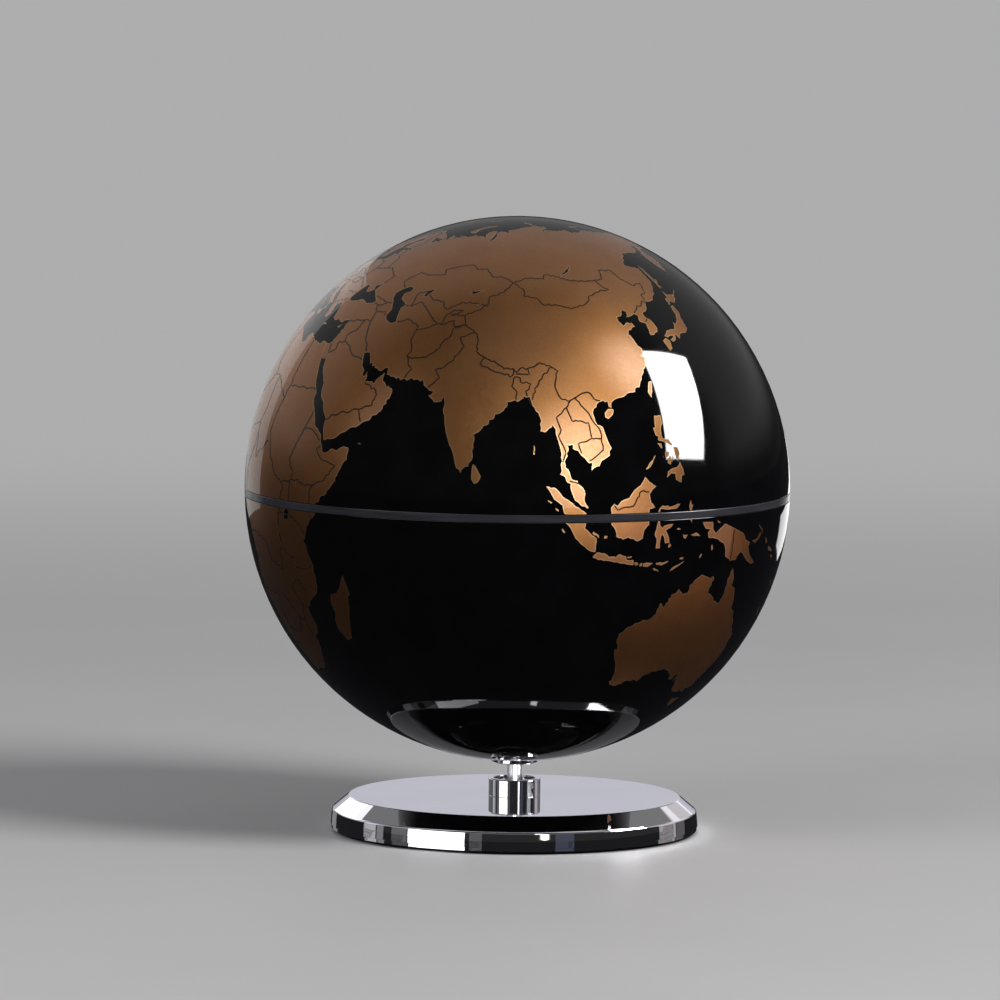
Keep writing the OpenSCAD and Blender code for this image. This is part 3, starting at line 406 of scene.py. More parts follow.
# State borders, as open lines
BORDERS = [
    # Russia, Kazakhstan, Mongolia and the north-east
    [(49.2, 46.3), (47.0, 48.2), (48.5, 49.9), (51.5, 51.5), (55.0, 50.8), (58.5, 51.0), (61.5, 51.2),
     (61.0, 53.0), (65.0, 54.3), (70.8, 55.3), (73.5, 53.6), (77.0, 53.8), (80.0, 51.0), (84.0, 51.0),
     (87.3, 49.2), (92.0, 50.8), (98.0, 50.5), (98.4, 52.1), (102.2, 51.4), (107.0, 49.9),
     (113.0, 49.6), (116.7, 49.8), (119.7, 50.1), (120.9, 53.3), (125.6, 53.1), (127.6, 49.8),
     (130.9, 47.7), (134.7, 48.4), (133.1, 45.1), (131.0, 44.9), (131.2, 43.5), (130.6, 42.4)],
    [(87.8, 49.1), (90.9, 46.9), (90.9, 45.2), (95.4, 44.3), (96.4, 42.7), (100.8, 42.6),
     (105.0, 41.6), (108.5, 42.4), (111.0, 43.5), (111.8, 45.0), (116.0, 46.4), (119.9, 46.7),
     (117.8, 47.9), (116.7, 49.8)],
    [(87.3, 49.1), (85.5, 47.1), (82.5, 45.2), (80.2, 45.0), (80.3, 42.8), (76.5, 40.4),
     (73.8, 39.6), (74.9, 37.3), (77.8, 35.5), (79.0, 34.3), (78.8, 31.3), (81.0, 30.2)],
    [(80.2, 42.1), (75.8, 42.9), (71.5, 42.8), (70.5, 42.0), (68.0, 41.0), (66.5, 41.9),
     (66.0, 43.0), (62.0, 43.5), (58.6, 45.6), (56.0, 45.0), (56.0, 41.3), (52.8, 41.8)],
    [(56.0, 41.3), (58.5, 42.7), (60.2, 42.0), (62.0, 40.5), (66.5, 37.4)],
    [(67.8, 37.2), (68.5, 39.5), (70.5, 40.9), (73.0, 40.8), (71.8, 39.9), (69.5, 39.6), (73.8, 39.5)],
    [(124.4, 40.0), (126.9, 41.8), (128.2, 42.0), (129.9, 43.0), (130.6, 42.4)],
    [(126.7, 37.8), (128.4, 38.6)],
    # Afghanistan, Iran, Iraq and Arabia
    [(61.2, 35.6), (64.5, 36.3), (66.5, 37.4), (67.8, 37.2), (71.3, 38.2), (71.5, 36.8),
     (74.9, 37.3), (71.5, 36.3), (71.2, 34.3), (69.5, 33.1), (69.3, 31.9), (66.4, 29.9),
     (62.5, 29.4), (60.9, 29.9), (61.8, 31.0), (60.6, 33.0), (61.2, 35.6)],
    [(61.6, 25.2), (63.2, 27.2), (61.8, 28.6), (60.9, 29.9)],
    [(53.9, 37.3), (57.2, 38.2), (61.2, 36.6), (61.2, 35.6)],
    [(48.5, 30.3), (47.7, 31.4), (46.0, 33.3), (45.5, 35.0), (44.8, 37.2), (44.5, 39.4),
     (48.0, 39.5), (48.8, 38.5)],
    [(42.8, 16.5), (44.5, 17.4), (48.2, 18.2), (52.0, 19.0), (53.1, 16.7)],
    [(52.0, 19.0), (55.0, 20.0), (55.7, 22.0), (55.2, 22.7), (51.6, 24.1)],
    [(35.0, 29.3), (37.5, 30.3), (37.0, 31.5), (39.2, 32.1), (42.0, 31.1), (44.7, 29.2),
     (47.5, 28.9), (48.3, 28.6)],
    [(39.2, 32.1), (38.8, 33.4), (41.3, 34.5), (42.3, 37.2), (44.8, 37.2)],
    [(36.0, 36.2), (36.9, 36.7), (42.3, 37.2)],
    [(41.6, 41.5), (43.5, 41.1), (43.7, 40.1), (44.8, 39.7)],
    [(40.0, 43.4), (44.0, 42.6), (46.5, 41.8), (48.4, 41.9)],
    [(43.5, 41.1), (45.1, 41.2), (46.5, 41.8)],
    [(34.3, 31.2), (34.9, 29.6)],
    # India and its neighbours
    [(68.3, 23.8), (70.8, 25.7), (69.6, 27.2), (72.9, 29.0), (74.5, 31.0), (75.4, 32.3),
     (74.0, 34.5), (77.8, 35.5)],
    [(81.0, 30.2), (84.1, 29.0), (86.0, 28.0), (88.1, 27.9), (89.0, 27.3), (90.5, 28.2),
     (91.7, 27.8), (94.5, 29.2), (97.3, 28.3)],
    [(81.0, 30.2), (80.1, 28.8), (83.3, 27.4), (88.1, 26.4), (88.1, 27.9)],
    [(89.0, 27.3), (89.0, 26.8), (92.1, 26.9), (91.7, 27.8)],
    [(88.9, 21.8), (88.9, 23.2), (88.1, 24.5), (88.5, 26.4), (89.8, 26.0), (89.9, 25.3),
     (92.4, 25.0), (91.3, 23.5), (92.4, 21.0)],
    # Indochina
    [(92.5, 21.9), (93.3, 24.0), (95.1, 26.5), (97.3, 28.3), (98.7, 27.5), (97.6, 24.3),
     (99.0, 22.1), (101.1, 21.6), (102.1, 22.4), (105.3, 23.3), (106.7, 22.0), (108.0, 21.6)],
    [(101.1, 21.6), (100.1, 20.4), (97.8, 18.5), (98.6, 16.2), (98.2, 15.1), (99.5, 11.9), (98.8, 10.2)],
    [(100.1, 20.4), (101.0, 17.8), (102.5, 18.0), (104.7, 17.4), (105.5, 14.5), (102.5, 13.6),
     (102.9, 11.8)],
    [(102.1, 22.4), (104.0, 20.5), (105.2, 18.7), (107.3, 15.8), (107.5, 12.4), (106.0, 11.2),
     (104.5, 10.5)],
    [(105.5, 14.5), (107.5, 14.5)],
    [(100.2, 6.6), (102.1, 6.1)],
    [(109.6, 1.9), (110.5, 0.9), (113.8, 1.4), (115.0, 3.0), (115.6, 4.3), (117.6, 4.2)],
    [(141.0, -2.7), (141.0, -9.1)],
    # East and southern Africa
    [(25.1, 31.6), (25.0, 22.0), (36.9, 22.0)],
    [(25.0, 22.0), (24.0, 19.5), (22.0, 13.0), (24.2, 8.7), (27.4, 5.0), (30.8, 3.5), (34.0, 4.2)],
    [(38.5, 18.0), (36.5, 14.3), (34.3, 10.6), (33.0, 8.0), (35.0, 5.5), (34.0, 4.2), (36.9, 4.4),
     (39.5, 3.4), (41.9, 4.0), (45.0, 5.0), (48.0, 8.0), (44.0, 9.0), (42.9, 9.5), (41.8, 11.0),
     (43.2, 11.4)],
    [(36.5, 14.3), (39.0, 14.6), (42.4, 12.5)],
    [(41.9, 4.0), (41.0, 2.8), (41.0, -0.8), (41.6, -1.5)],
    [(34.0, 4.2), (34.0, -1.0), (37.6, -3.0), (39.2, -4.6)],
    [(40.4, -10.5), (37.5, -11.7), (34.6, -11.5)],
    [(34.0, -1.0), (30.5, -1.0), (29.6, -1.3), (29.3, -4.4)],
    [(30.8, 3.5), (31.2, 2.2), (29.6, -1.3)],
    [(30.5, -8.2), (28.7, -8.5), (28.5, -12.4), (24.0, -11.0), (21.8, -7.3), (16.6, -6.0), (12.4, -6.0)],
    [(30.8, -8.3), (33.0, -9.5), (34.2, -9.7)],
    [(32.9, -26.8), (31.9, -25.5), (31.3, -22.4), (32.9, -19.0), (30.4, -15.7), (33.2, -14.0),
     (34.6, -14.4), (35.8, -16.0)],
    [(16.5, -28.6), (20.0, -28.4), (20.0, -22.0), (21.0, -18.3), (25.3, -17.8), (29.4, -22.2),
     (31.3, -22.4)],
    [(20.0, -24.8), (22.8, -25.5), (25.6, -25.6), (29.4, -22.2)],
    [(11.8, -17.3), (14.0, -17.4), (21.4, -17.9)],
    # North and west Africa
    [(11.5, 33.1), (9.5, 30.2), (9.5, 26.0), (12.0, 23.5), (4.2, 19.2), (-4.8, 25.0), (-8.7, 27.3),
     (-8.7, 28.8), (-1.2, 32.0), (-2.2, 35.1)],
    [(24.0, 19.5), (16.0, 23.4), (12.0, 23.5)],
    [(15.5, 23.2), (15.5, 16.9), (13.5, 14.0), (7.0, 13.0), (3.6, 11.7), (2.7, 6.4)],
    [(14.0, 12.8), (13.2, 9.6), (8.6, 4.8)],
    [(13.5, 14.0), (15.5, 7.5), (22.0, 11.0)],
    [(4.2, 19.2), (4.2, 16.8), (1.0, 15.0), (-5.4, 10.4), (-8.0, 10.2), (-12.2, 14.8), (-5.5, 15.5),
     (-6.5, 25.0), (-4.8, 25.0)],
    [(-8.0, 10.2), (-7.6, 4.5)],
    [(-3.0, 5.2), (-2.8, 11.0), (0.5, 11.0), (1.2, 6.1)],
    # Europe
    [(-1.8, 43.4), (3.1, 42.5)],
    [(-7.4, 37.2), (-7.0, 40.0), (-6.6, 41.8), (-8.8, 41.9)],
    [(7.5, 43.8), (7.0, 46.0), (7.6, 47.6), (8.2, 49.0), (6.4, 49.5), (2.6, 51.1)],
    [(7.0, 46.0), (10.5, 46.8), (13.7, 46.5), (13.7, 45.7)],
    [(14.3, 53.9), (14.7, 51.0), (12.1, 50.3), (13.8, 48.7), (9.6, 47.5), (7.6, 47.6)],
    [(19.6, 54.4), (23.5, 54.0), (23.6, 51.5), (22.7, 49.2), (18.9, 49.5), (14.7, 51.0)],
    [(23.6, 51.5), (31.0, 52.0), (34.0, 52.3), (40.1, 49.6), (38.3, 47.1)],
    [(31.0, 52.0), (30.8, 55.8), (28.0, 57.0), (28.0, 59.4)],
    [(27.8, 60.6), (31.5, 62.9), (29.5, 66.5), (28.9, 69.0), (30.8, 69.7)],
    [(11.4, 59.0), (12.2, 61.5), (14.0, 64.5), (16.5, 67.8), (20.5, 69.1), (25.8, 69.8), (28.9, 69.0)],
    [(24.1, 65.8), (20.5, 69.1)],
    [(22.7, 49.2), (22.7, 48.1), (28.2, 45.5)],
    [(22.7, 48.1), (20.5, 46.2), (16.5, 46.5), (17.0, 48.0), (22.7, 48.1)],
    [(22.5, 43.9), (28.6, 43.7)],
    [(20.0, 39.7), (21.0, 40.9), (26.3, 41.7), (26.0, 40.8)],
    # North and Central America
    [(-123.0, 49.0), (-95.2, 49.0), (-89.5, 48.0), (-84.5, 46.5)],
    [(-76.5, 44.2), (-74.7, 45.0), (-71.5, 45.0), (-69.2, 47.4), (-67.8, 45.7), (-67.0, 44.9)],
    [(-141.0, 69.6), (-141.0, 60.3), (-135.0, 59.5), (-130.2, 55.5)],
    [(-117.1, 32.5), (-111.1, 31.3), (-106.5, 31.8), (-103.3, 29.0), (-101.4, 29.8), (-97.3, 25.9)],
    [(-92.2, 14.6), (-91.5, 16.1), (-89.2, 17.8), (-88.4, 18.4)],
    [(-88.2, 15.7), (-89.3, 14.4), (-87.6, 13.0), (-83.3, 15.0)],
    [(-83.7, 11.0), (-85.7, 11.2)],
    # South America
    [(-71.4, 11.8), (-72.5, 9.0), (-70.1, 7.0), (-67.5, 6.2), (-67.0, 1.2), (-69.9, 1.0), (-70.0, -4.2),
     (-73.8, -7.3), (-70.6, -9.5), (-69.0, -15.5), (-69.5, -17.5), (-70.4, -18.3)],
    [(-67.0, 1.2), (-64.0, 2.0), (-60.7, 5.0), (-59.8, 2.5), (-56.5, 1.9), (-51.7, 4.0)],
    [(-60.7, 5.0), (-60.0, 8.0)],
    [(-57.2, 5.6), (-56.5, 1.9)],
    [(-80.3, -3.5), (-79.0, -4.9), (-75.3, -0.2), (-70.0, -2.3)],
    [(-78.8, 1.4), (-75.3, -0.2)],
    [(-69.5, -11.0), (-65.3, -10.5), (-60.3, -14.0), (-58.2, -17.5), (-58.0, -20.0), (-57.8, -22.2),
     (-54.6, -24.0), (-54.6, -25.5), (-57.6, -30.2), (-53.4, -33.7)],
    [(-69.5, -17.5), (-67.8, -22.8), (-68.5, -26.5), (-70.0, -33.0), (-71.5, -39.0), (-72.0, -46.0),
     (-73.0, -50.0), (-69.5, -52.1)],
    [(-67.8, -22.8), (-62.6, -22.2), (-58.0, -20.0)],
    [(-62.6, -22.2), (-58.6, -27.3), (-54.6, -25.5)],
    [(-57.6, -30.2), (-58.3, -33.5)],
]

# ---------------------------------------------------------------- how the flat print lies on the ball
FRONT_MERIDIAN = 89.4  # degrees east, faces the front
STRETCH = 3.85  # degrees that the middle latitudes are drawn towards the pole
EDGE_R = 0.2 * MM  # rounding of the shells' edges at the seam
edge_angle = math.degrees(math.asin(EDGE_R / shell_r))
COAST_STEP = 0.7  # degrees between the points of a coast
# Sizes of the small bays along the coasts, and of the bends along the borders, in degrees
CONTINENT_BAYS, ISLAND_BAYS, LAKE_BAYS, BORDER_BENDS = 0.16, 0.06, 0.05, 0.14


def print_latitude(lat):
    """Where the print puts a latitude on the ball. The southern print starts under the seam."""
    stretched = abs(lat) + STRETCH * math.sin(math.radians(2 * abs(lat))) ** 2
    start = edge_angle if lat >= 0 else seam_angle + edge_angle
    shown = stretched + start * (1 - (abs(lat) / 90) ** 4)
    return shown if lat >= 0 else -shown


def on_ball(lon, shown_lat, lift=0.0):
    """A point of the ball's surface, from its meridian and the latitude at which it shows."""
    a, b = math.radians(lon - FRONT_MERIDIAN), math.radians(shown_lat)
    r = shell_r + lift
    across = r * math.cos(b)
    return middle + Vector((across * math.sin(a), -across * math.cos(a), r * math.sin(b)))


def subdivided(points, closed, step):
    """The line with points added, so that no piece of it is longer than step degrees."""
    out = []
    ends = points[1:] + points[:1] if closed else points[1:]
    for (x0, y0), (x1, y1) in zip(points, ends):
        n = max(1, math.ceil(math.hypot(x1 - x0, y1 - y0) / step))
        out += [(x0 + (x1 - x0) * i / n, y0 + (y1 - y0) * i / n) for i in range(n)]
    return out if closed else out + [points[-1]]


def rough(points, closed, size):
    """A coast or border with small irregular bays. The size is in degrees. Two waves of unlike length
    and direction make the bays, so the same line comes out on each run."""
    fine = subdivided(points, closed, COAST_STEP)
    out = []
    for i, (x, y) in enumerate(fine):
        x0, y0 = fine[i - 1] if closed or i else fine[i]
        x1, y1 = fine[(i + 1) % len(fine)] if closed or i + 1 < len(fine) else fine[i]
        length = math.hypot(x1 - x0, y1 - y0) or 1.0
        shift = size * (math.sin(x * 7.3 + y * 3.1) + 0.8 * math.sin(x * 3.7 - y * 9.7 + 1.3))
        keep = not closed and i in (0, len(fine) - 1)
        out.append((x, y) if keep else (x - shift * (y1 - y0) / length, y + shift * (x1 - x0) / length))
    return out


def counterclockwise(points):
    """The outline with its inside on the left, as the cutting of the map needs it."""
    area = sum(x0 * y1 - x1 * y0 for (x0, y0), (x1, y1) in zip(points, points[1:] + points[:1]))
    return points if area > 0 else points[::-1]


CONTINENTS = [EURASIA, AFRICA, NORTH_AMERICA, SOUTH_AMERICA, AUSTRALIA, GREENLAND]
LAND = [counterclockwise(rough(p, True, CONTINENT_BAYS)) for p in CONTINENTS]
LAND += [counterclockwise(rough(p, True, ISLAND_BAYS)) for p in ISLANDS]
WATER = [counterclockwise(rough(p, True, LAKE_BAYS)) for p in INLAND_WATER]

# ---------------------------------------------------------------- mesh helpers
ROUND_STEP = 12  # degrees of turn, at most, between the points of a rounded corner
ON_AXIS = 1e-6  # mm, a point with a smaller radius lies on the axis


def in_mm(value):
    return value / MM


def mesh_object(name, points, faces, normals, material):
    """A mesh of one material, smooth where the true normal of each point is given."""
    mesh = bpy.data.meshes.new(name)
    mesh.from_pydata([tuple(p) for p in points], [], faces)
    mesh.materials.append(material)
    mesh.polygons.foreach_set("use_smooth", [True] * len(mesh.polygons))
    mesh.update()
    if normals:
        mesh.normals_split_custom_set_from_vertices([tuple(n) for n in normals])
    obj = bpy.data.objects.new(name, mesh)
    bpy.context.scene.collection.objects.link(obj)
    return obj


def rounded(corners, closed):
    """Corners (r, z, radius) in millimetres, solid on the left: points with normals, rounded."""
    out = []
    n = len(corners)
    for i, (r, z, radius) in enumerate(corners):
        if not closed and i in (0, n - 1):
            other = corners[1] if i == 0 else corners[n - 2]
            d = Vector((other[0] - r, other[1] - z)).normalized() * (1 if i == 0 else -1)
            out.append((r, z, d.y, -d.x))
            continue
        here = Vector((r, z))
        back = (here - Vector(corners[i - 1][:2])).normalized()
        ahead = (Vector(corners[(i + 1) % n][:2]) - here).normalized()
        turn = math.atan2(back.x * ahead.y - back.y * ahead.x, back.dot(ahead))
        start = here - back * radius * math.tan(abs(turn) / 2)
        steps = max(2, math.ceil(abs(math.degrees(turn)) / ROUND_STEP))
        side = 1 if turn > 0 else -1
        centre = start + Vector((-back.y, back.x)) * radius * side
        for k in range(steps + 1):
            a = turn * k / steps
            out_normal = Vector((back.y, -back.x))
            out_normal = Matrix.Rotation(a, 2) @ out_normal
            point = centre + out_normal * radius * side
            out.append((point.x, point.y, out_normal.x, out_normal.y))
    return out


def lathe(name, corners, closed, material, segments=192):
    """A turned piece round the ball's axis. The corners are in millimetres."""
    profile = rounded(corners, closed)
    points, normals, faces = [], [], []
    for r, z, nr, nz in profile:
        for j in range(segments):
            a = 2 * math.pi * j / segments
            points.append((r * MM * math.cos(a), r * MM * math.sin(a), z * MM))
            normals.append((nr * math.cos(a), nr * math.sin(a), nz))
    rows = len(profile)
    for i in range(rows if closed else rows - 1):
        k = (i + 1) % rows
        for j in range(segments):
            m = (j + 1) % segments
            quad = [i * segments + j, i * segments + m, k * segments + m, k * segments + j]
            if profile[i][0] < ON_AXIS:
                quad = quad[1:]
            elif profile[k][0] < ON_AXIS:
                quad = quad[:3]
            faces.append(quad)
    return mesh_object(name, points, faces, normals, material)


# ---------------------------------------------------------------- materials
class Look:
    """A procedural material. Object coordinates are metres, so the noise scales are per metre."""

    def __init__(self, name, **sockets):
        self.material = bpy.data.materials.new(name)
        self.material.use_nodes = True
        self.nodes, self.links = self.material.node_tree.nodes, self.material.node_tree.links
        self.shader = self.nodes["Principled BSDF"]
        self.place = self.nodes.new("ShaderNodeTexCoord").outputs["Object"]
        for socket, value in sockets.items():
            self.shader.inputs[socket.replace("_", " ")].default_value = value

    def noise(self, scale, detail=3.0, stretch=None):
        node = self.nodes.new("ShaderNodeTexNoise")
        node.inputs["Scale"].default_value = scale
        node.inputs["Detail"].default_value = detail
        place = self.place
        if stretch:
            mapping = self.nodes.new("ShaderNodeMapping")
            mapping.inputs["Scale"].default_value = stretch
            self.links.new(place, mapping.inputs["Vector"])
            place = mapping.outputs["Vector"]
        self.links.new(place, node.inputs["Vector"])
        return node.outputs["Fac"]

    def ramp(self, value, *stops):
        """Colours or greys along a value, as (position, colour) stops."""
        node = self.nodes.new("ShaderNodeValToRGB")
        ramp = node.color_ramp
        while len(ramp.elements) < len(stops):
            ramp.elements.new(0.5)
        for element, (position, colour) in zip(ramp.elements, stops):
            element.position = position
            rgb = colour if isinstance(colour, tuple) else (colour,) * 3
            element.color = (*rgb, 1)
        self.links.new(value, node.inputs["Fac"])
        return node.outputs["Color"]

    def multiply(self, first, second):
        node = self.nodes.new("ShaderNodeMix")
        node.data_type = "RGBA"
        node.blend_type = "MULTIPLY"
        node.inputs["Factor"].default_value = 1
        self.links.new(first, node.inputs["A"])
        self.links.new(second, node.inputs["B"])
        return node.outputs["Result"]

    def colour(self, value):
        self.links.new(value, self.shader.inputs["Base Color"])

    def roughness(self, value):
        self.links.new(value, self.shader.inputs["Roughness"])

    def bump(self, value, depth):
        """Small relief, of the given depth in metres."""
        node = self.nodes.new("ShaderNodeBump")
        node.inputs["Distance"].default_value = depth
        self.links.new(value, node.inputs["Height"])
        self.links.new(node.outputs["Normal"], self.shader.inputs["Normal"])


def sea_look():
    look = Look("sea", IOR=1.49)
    look.colour(look.ramp(look.noise(90), (0.35, (0.0016, 0.0016, 0.002)), (0.7, (0.003, 0.003, 0.0035))))
    look.roughness(look.ramp(look.noise(35, 5), (0.35, 0.02), (0.8, 0.07)))
    look.bump(look.noise(45, 1), 0.006 * MM)
    return look.material


def copper_look(name, light, dark, rough):
    """Copper ink with fine flakes and a slight mottle, seen through the clear polished wall."""
    look = Look(name, Metallic=1.0, Coat_Weight=1.0, Coat_Roughness=0.03, Coat_IOR=1.49)
    mottle = look.ramp(look.noise(70, 4), (0.3, dark), (0.7, light))
    flakes = look.ramp(look.noise(2600, 2), (0.35, 0.86), (0.65, 1.0))
    look.colour(look.multiply(mottle, flakes))
    look.roughness(look.ramp(look.noise(900, 2), (0.3, rough - 0.05), (0.7, rough + 0.05)))
    return look.material


def line_look():
    look = Look("state_lines", Coat_Weight=1.0, Coat_Roughness=0.03, Coat_IOR=1.49)
    look.colour(look.ramp(look.noise(500), (0.3, (0.02, 0.012, 0.008)), (0.7, (0.035, 0.02, 0.012))))
    look.roughness(look.ramp(look.noise(900), (0.3, 0.4), (0.7, 0.5)))
    return look.material


def smoke_look():
    look = Look("smoke_acrylic", IOR=1.49)
    streaks = look.noise(60, 3, (1, 1, 14))
    look.colour(look.ramp(streaks, (0.3, (0.03, 0.029, 0.036)), (0.75, (0.052, 0.051, 0.061))))
    look.roughness(look.ramp(look.noise(120), (0.3, 0.16), (0.8, 0.3)))
    return look.material


def chrome_look():
    look = Look("polished_chrome", Metallic=1.0)
    look.colour(look.ramp(look.noise(25, 4), (0.3, (0.62, 0.62, 0.66)), (0.7, (0.7, 0.7, 0.73))))
    look.roughness(look.ramp(look.noise(60, 6), (0.35, 0.02), (0.75, 0.05)))
    look.bump(look.noise(70, 1), 0.004 * MM)
    return look.material


def metal_look(name, light, dark, rough, scale, stretch=None):
    """A worked metal: its grain at the given scale, stretched along the tool's marks."""
    look = Look(name, Metallic=1.0)
    grain = look.noise(scale, 4, stretch)
    look.colour(look.ramp(grain, (0.3, dark), (0.7, light)))
    look.roughness(look.ramp(grain, (0.3, rough - 0.05), (0.7, rough + 0.08)))
    look.bump(look.noise(scale * 3, 2, stretch), 0.003 * MM)
    return look.material


def foam_look():
    look = Look("closed_cell_foam")
    look.colour(look.ramp(look.noise(900, 4), (0.3, (0.011, 0.011, 0.012)), (0.7, (0.03, 0.03, 0.032))))
    look.roughness(look.ramp(look.noise(700), (0.3, 0.8), (0.7, 0.95)))
    look.bump(look.noise(1500, 3), 0.12 * MM)
    return look.material


sea = sea_look()
land = copper_look("copper_ink", (0.68, 0.3, 0.115), (0.6, 0.255, 0.095), 0.44)
coast = copper_look("coast_ink", (0.92, 0.56, 0.3), (0.84, 0.48, 0.24), 0.4)
border = line_look()
smoke = smoke_look()
chrome = chrome_look()
satin = metal_look("satin_chrome", (0.85, 0.85, 0.88), (0.76, 0.76, 0.79), 0.3, 500, (1, 1, 8))
bright_steel = metal_look("ground_steel", (0.85, 0.85, 0.87), (0.7, 0.7, 0.72), 0.25, 400, (1, 1, 8))
zinc = metal_look("zinc_plated_steel", (0.62, 0.63, 0.65), (0.5, 0.51, 0.54), 0.3, 250)
brass = metal_look("stamped_brass", (0.78, 0.58, 0.27), (0.68, 0.49, 0.21), 0.28, 300)
bronze = metal_look("sintered_bronze", (0.6, 0.37, 0.19), (0.45, 0.27, 0.14), 0.5, 1800)
iron = metal_look("cast_iron", (0.2, 0.2, 0.21), (0.11, 0.11, 0.12), 0.6, 700)
foam = foam_look()

# ---------------------------------------------------------------- the printed half shells
GRID = 3  # degrees between the points of the shells' mesh
WEST, EAST = -169, 191  # the flat map's edges, degrees east
CUT_GAP = 1e-4  # degrees, points that are nearer than this are one point
HAIR = 1e-9  # degrees, tells on which side of the seam a point lies
POLE = 89.999  # degrees, a point beyond this is the pole


def printed_regions():
    """The flat map cut into triangles: their corners, and for each whether it is land."""
    points, edges, faces, dry = [], [], [], []
    for j in range(-90, 91, GRID):
        row = len(points)
        points += [Vector((x, j)) for x in range(WEST, EAST + 1, GRID)]
        if j in (-90, 0, 90):
            edges += [(i, i + 1) for i in range(row, len(points) - 1)]
    for outlines, is_dry in ((LAND, True), (WATER, False)):
        for outline in outlines:
            row = len(points)
            points += [Vector(p) for p in outline]
            faces.append(list(range(row, len(points))))
            dry.append(is_dry)
    cut = delaunay_2d_cdt(points, edges, faces, 0, CUT_GAP)
    corners, triangles, origins = cut[0], cut[2], cut[5]
    return corners, triangles, [bool(own) and all(dry[f] for f in own) for own in origins]


def shell_piece(name, corners, triangles, north, material):
    """The triangles of one colour on one half of the ball, as a mesh with the ball's true normals."""
    used, index, faces = [], {}, []
    for triangle in triangles:
        face = []
        for i in triangle:
            lon, lat = corners[i]
            shown = print_latitude(max(lat, 0.0) if north else min(lat, -HAIR))
            lon = 0.0 if abs(lat) > POLE else (WEST if lon > EAST - CUT_GAP else lon)
            key = (round(lon, 4), round(shown, 4))
            if key not in index:
                index[key] = len(used)
                used.append(on_ball(*key))
            if index[key] not in face:
                face.append(index[key])
        if len(face) == 3:
            faces.append(face)
    return mesh_object(name, used, faces, [(p - middle).normalized() for p in used], material)


def runs(points, closed, step):
    """The line cut where it crosses the seam: pieces that lie wholly north or south of it."""
    fine = subdivided(points, closed, step)
    if closed:
        fine.append(fine[0])
    out, run = [], [fine[0]]
    for (x0, y0), (x1, y1) in zip(fine, fine[1:]):
        if y0 * y1 < 0:
            x = x0 + (x1 - x0) * y0 / (y0 - y1)
            run.append((x, math.copysign(HAIR, y0)))
            out.append(run)
            run = [(x, math.copysign(HAIR, y1))]
        run.append((x1, y1))
    return out + [run]


LIFT = 0.02 * MM  # how far the printed lines stand off the ball
LINE_STEP = 0.8  # degrees between the points of a line
COAST_W, BORDER_W = 0.32 * MM, 0.5 * MM
CLOSEST = 0.02 * MM  # points of a line that are nearer than this are one point


def ribbons(name, lines, left, right, lift, material):
    """Printed lines: strips along the lines, reaching left and right of them by these widths."""
    points, normals, faces = [], [], []
    for line in lines:
        path = [on_ball(x, print_latitude(y), lift) for x, y in line]
        path = [p for i, p in enumerate(path) if i == 0 or (p - path[i - 1]).length > CLOSEST]
        if len(path) < 2:
            continue
        first = len(points)
        for i, p in enumerate(path):
            normal = (p - middle).normalized()
            along = (path[min(i + 1, len(path) - 1)] - path[max(i - 1, 0)]).normalized()
            side = normal.cross(along)
            points += [p + side * left, p - side * right]
            normals += [normal, normal]
        for i in range(first, len(points) - 2, 2):
            faces.append((i, i + 1, i + 3, i + 2))
    return mesh_object(name, points, faces, normals, material)


corners, triangles, is_land = printed_regions()
for name, dry, south, north, finish, slot in (
        ("upper_sea", False, 0, 90, sea, "acrylic"), ("lower_sea", False, -90, 0, sea, "acrylic"),
        ("upper_land", True, 0, 90, land, "copper_print"),
        ("lower_land", True, -90, 0, land, "copper_print")):
    chosen = [t for t, k in zip(triangles, is_land)
              if k == dry and south < sum(corners[i][1] for i in t) / 3 < north]
    piece = shell_piece(name, corners, chosen, south == 0, finish)
    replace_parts(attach(piece, "globe"), "upper_shell" if south == 0 else "lower_shell")

coast_runs = [run for outline in LAND + WATER for run in runs(outline, True, LINE_STEP)]
border_bends = [rough(line, False, BORDER_BENDS) for line in BORDERS]
border_runs = [run for line in border_bends for run in runs(line, False, LINE_STEP)]
coasts = ribbons("coast_lines", coast_runs, COAST_W, 0, LIFT, coast)
borders = ribbons("state_borders", border_runs, BORDER_W / 2, BORDER_W / 2, LIFT, border)
for piece in (coasts, borders):
    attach(piece, "globe")

# The shells' rounded edges at the seam, and the smoke-grey band between them, in millimetres
EDGE_REACH, BAND_REACH = 1.2, 2.4  # how far the edges and the band reach inwards
BAND_ROUND = 0.35  # rounding of the band's two outer corners
BAND_STEP = 0.06  # how far the band's lower corner stands back
EDGE_END_IN = 0.0005  # how far the upper edge's end stands back
ball_z, band_low = in_mm(middle_z), in_mm(lower_high.z)
ball_r, edge_r = in_mm(shell_r), in_mm(EDGE_R)
upper_profile = [(ball_r - EDGE_REACH, ball_z, 0), (ball_r, ball_z, edge_r),
                 (ball_r - EDGE_END_IN, ball_z + edge_r, 0)]
upper_edge = lathe("upper_edge", upper_profile, False, sea)
lower_r = ball_r * math.cos(math.radians(seam_angle))
lower_out = ball_r * math.cos(math.radians(seam_angle + edge_angle))
lower_profile = [(lower_out, band_low - edge_r, 0), (lower_r, band_low, edge_r),
                 (lower_r - EDGE_REACH, band_low, 0)]
lower_edge = lathe("lower_edge", lower_profile, False, sea)
band_profile = [(ball_r - BAND_REACH, band_low, 0), (ball_r - BAND_STEP, band_low, BAND_ROUND),
                (ball_r, ball_z, BAND_ROUND), (ball_r - BAND_REACH, ball_z, 0)]
band = lathe("seam_band", band_profile, False, smoke)
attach(upper_edge, "globe")
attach(lower_edge, "globe")
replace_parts(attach(band, "globe"), "seam_ring")

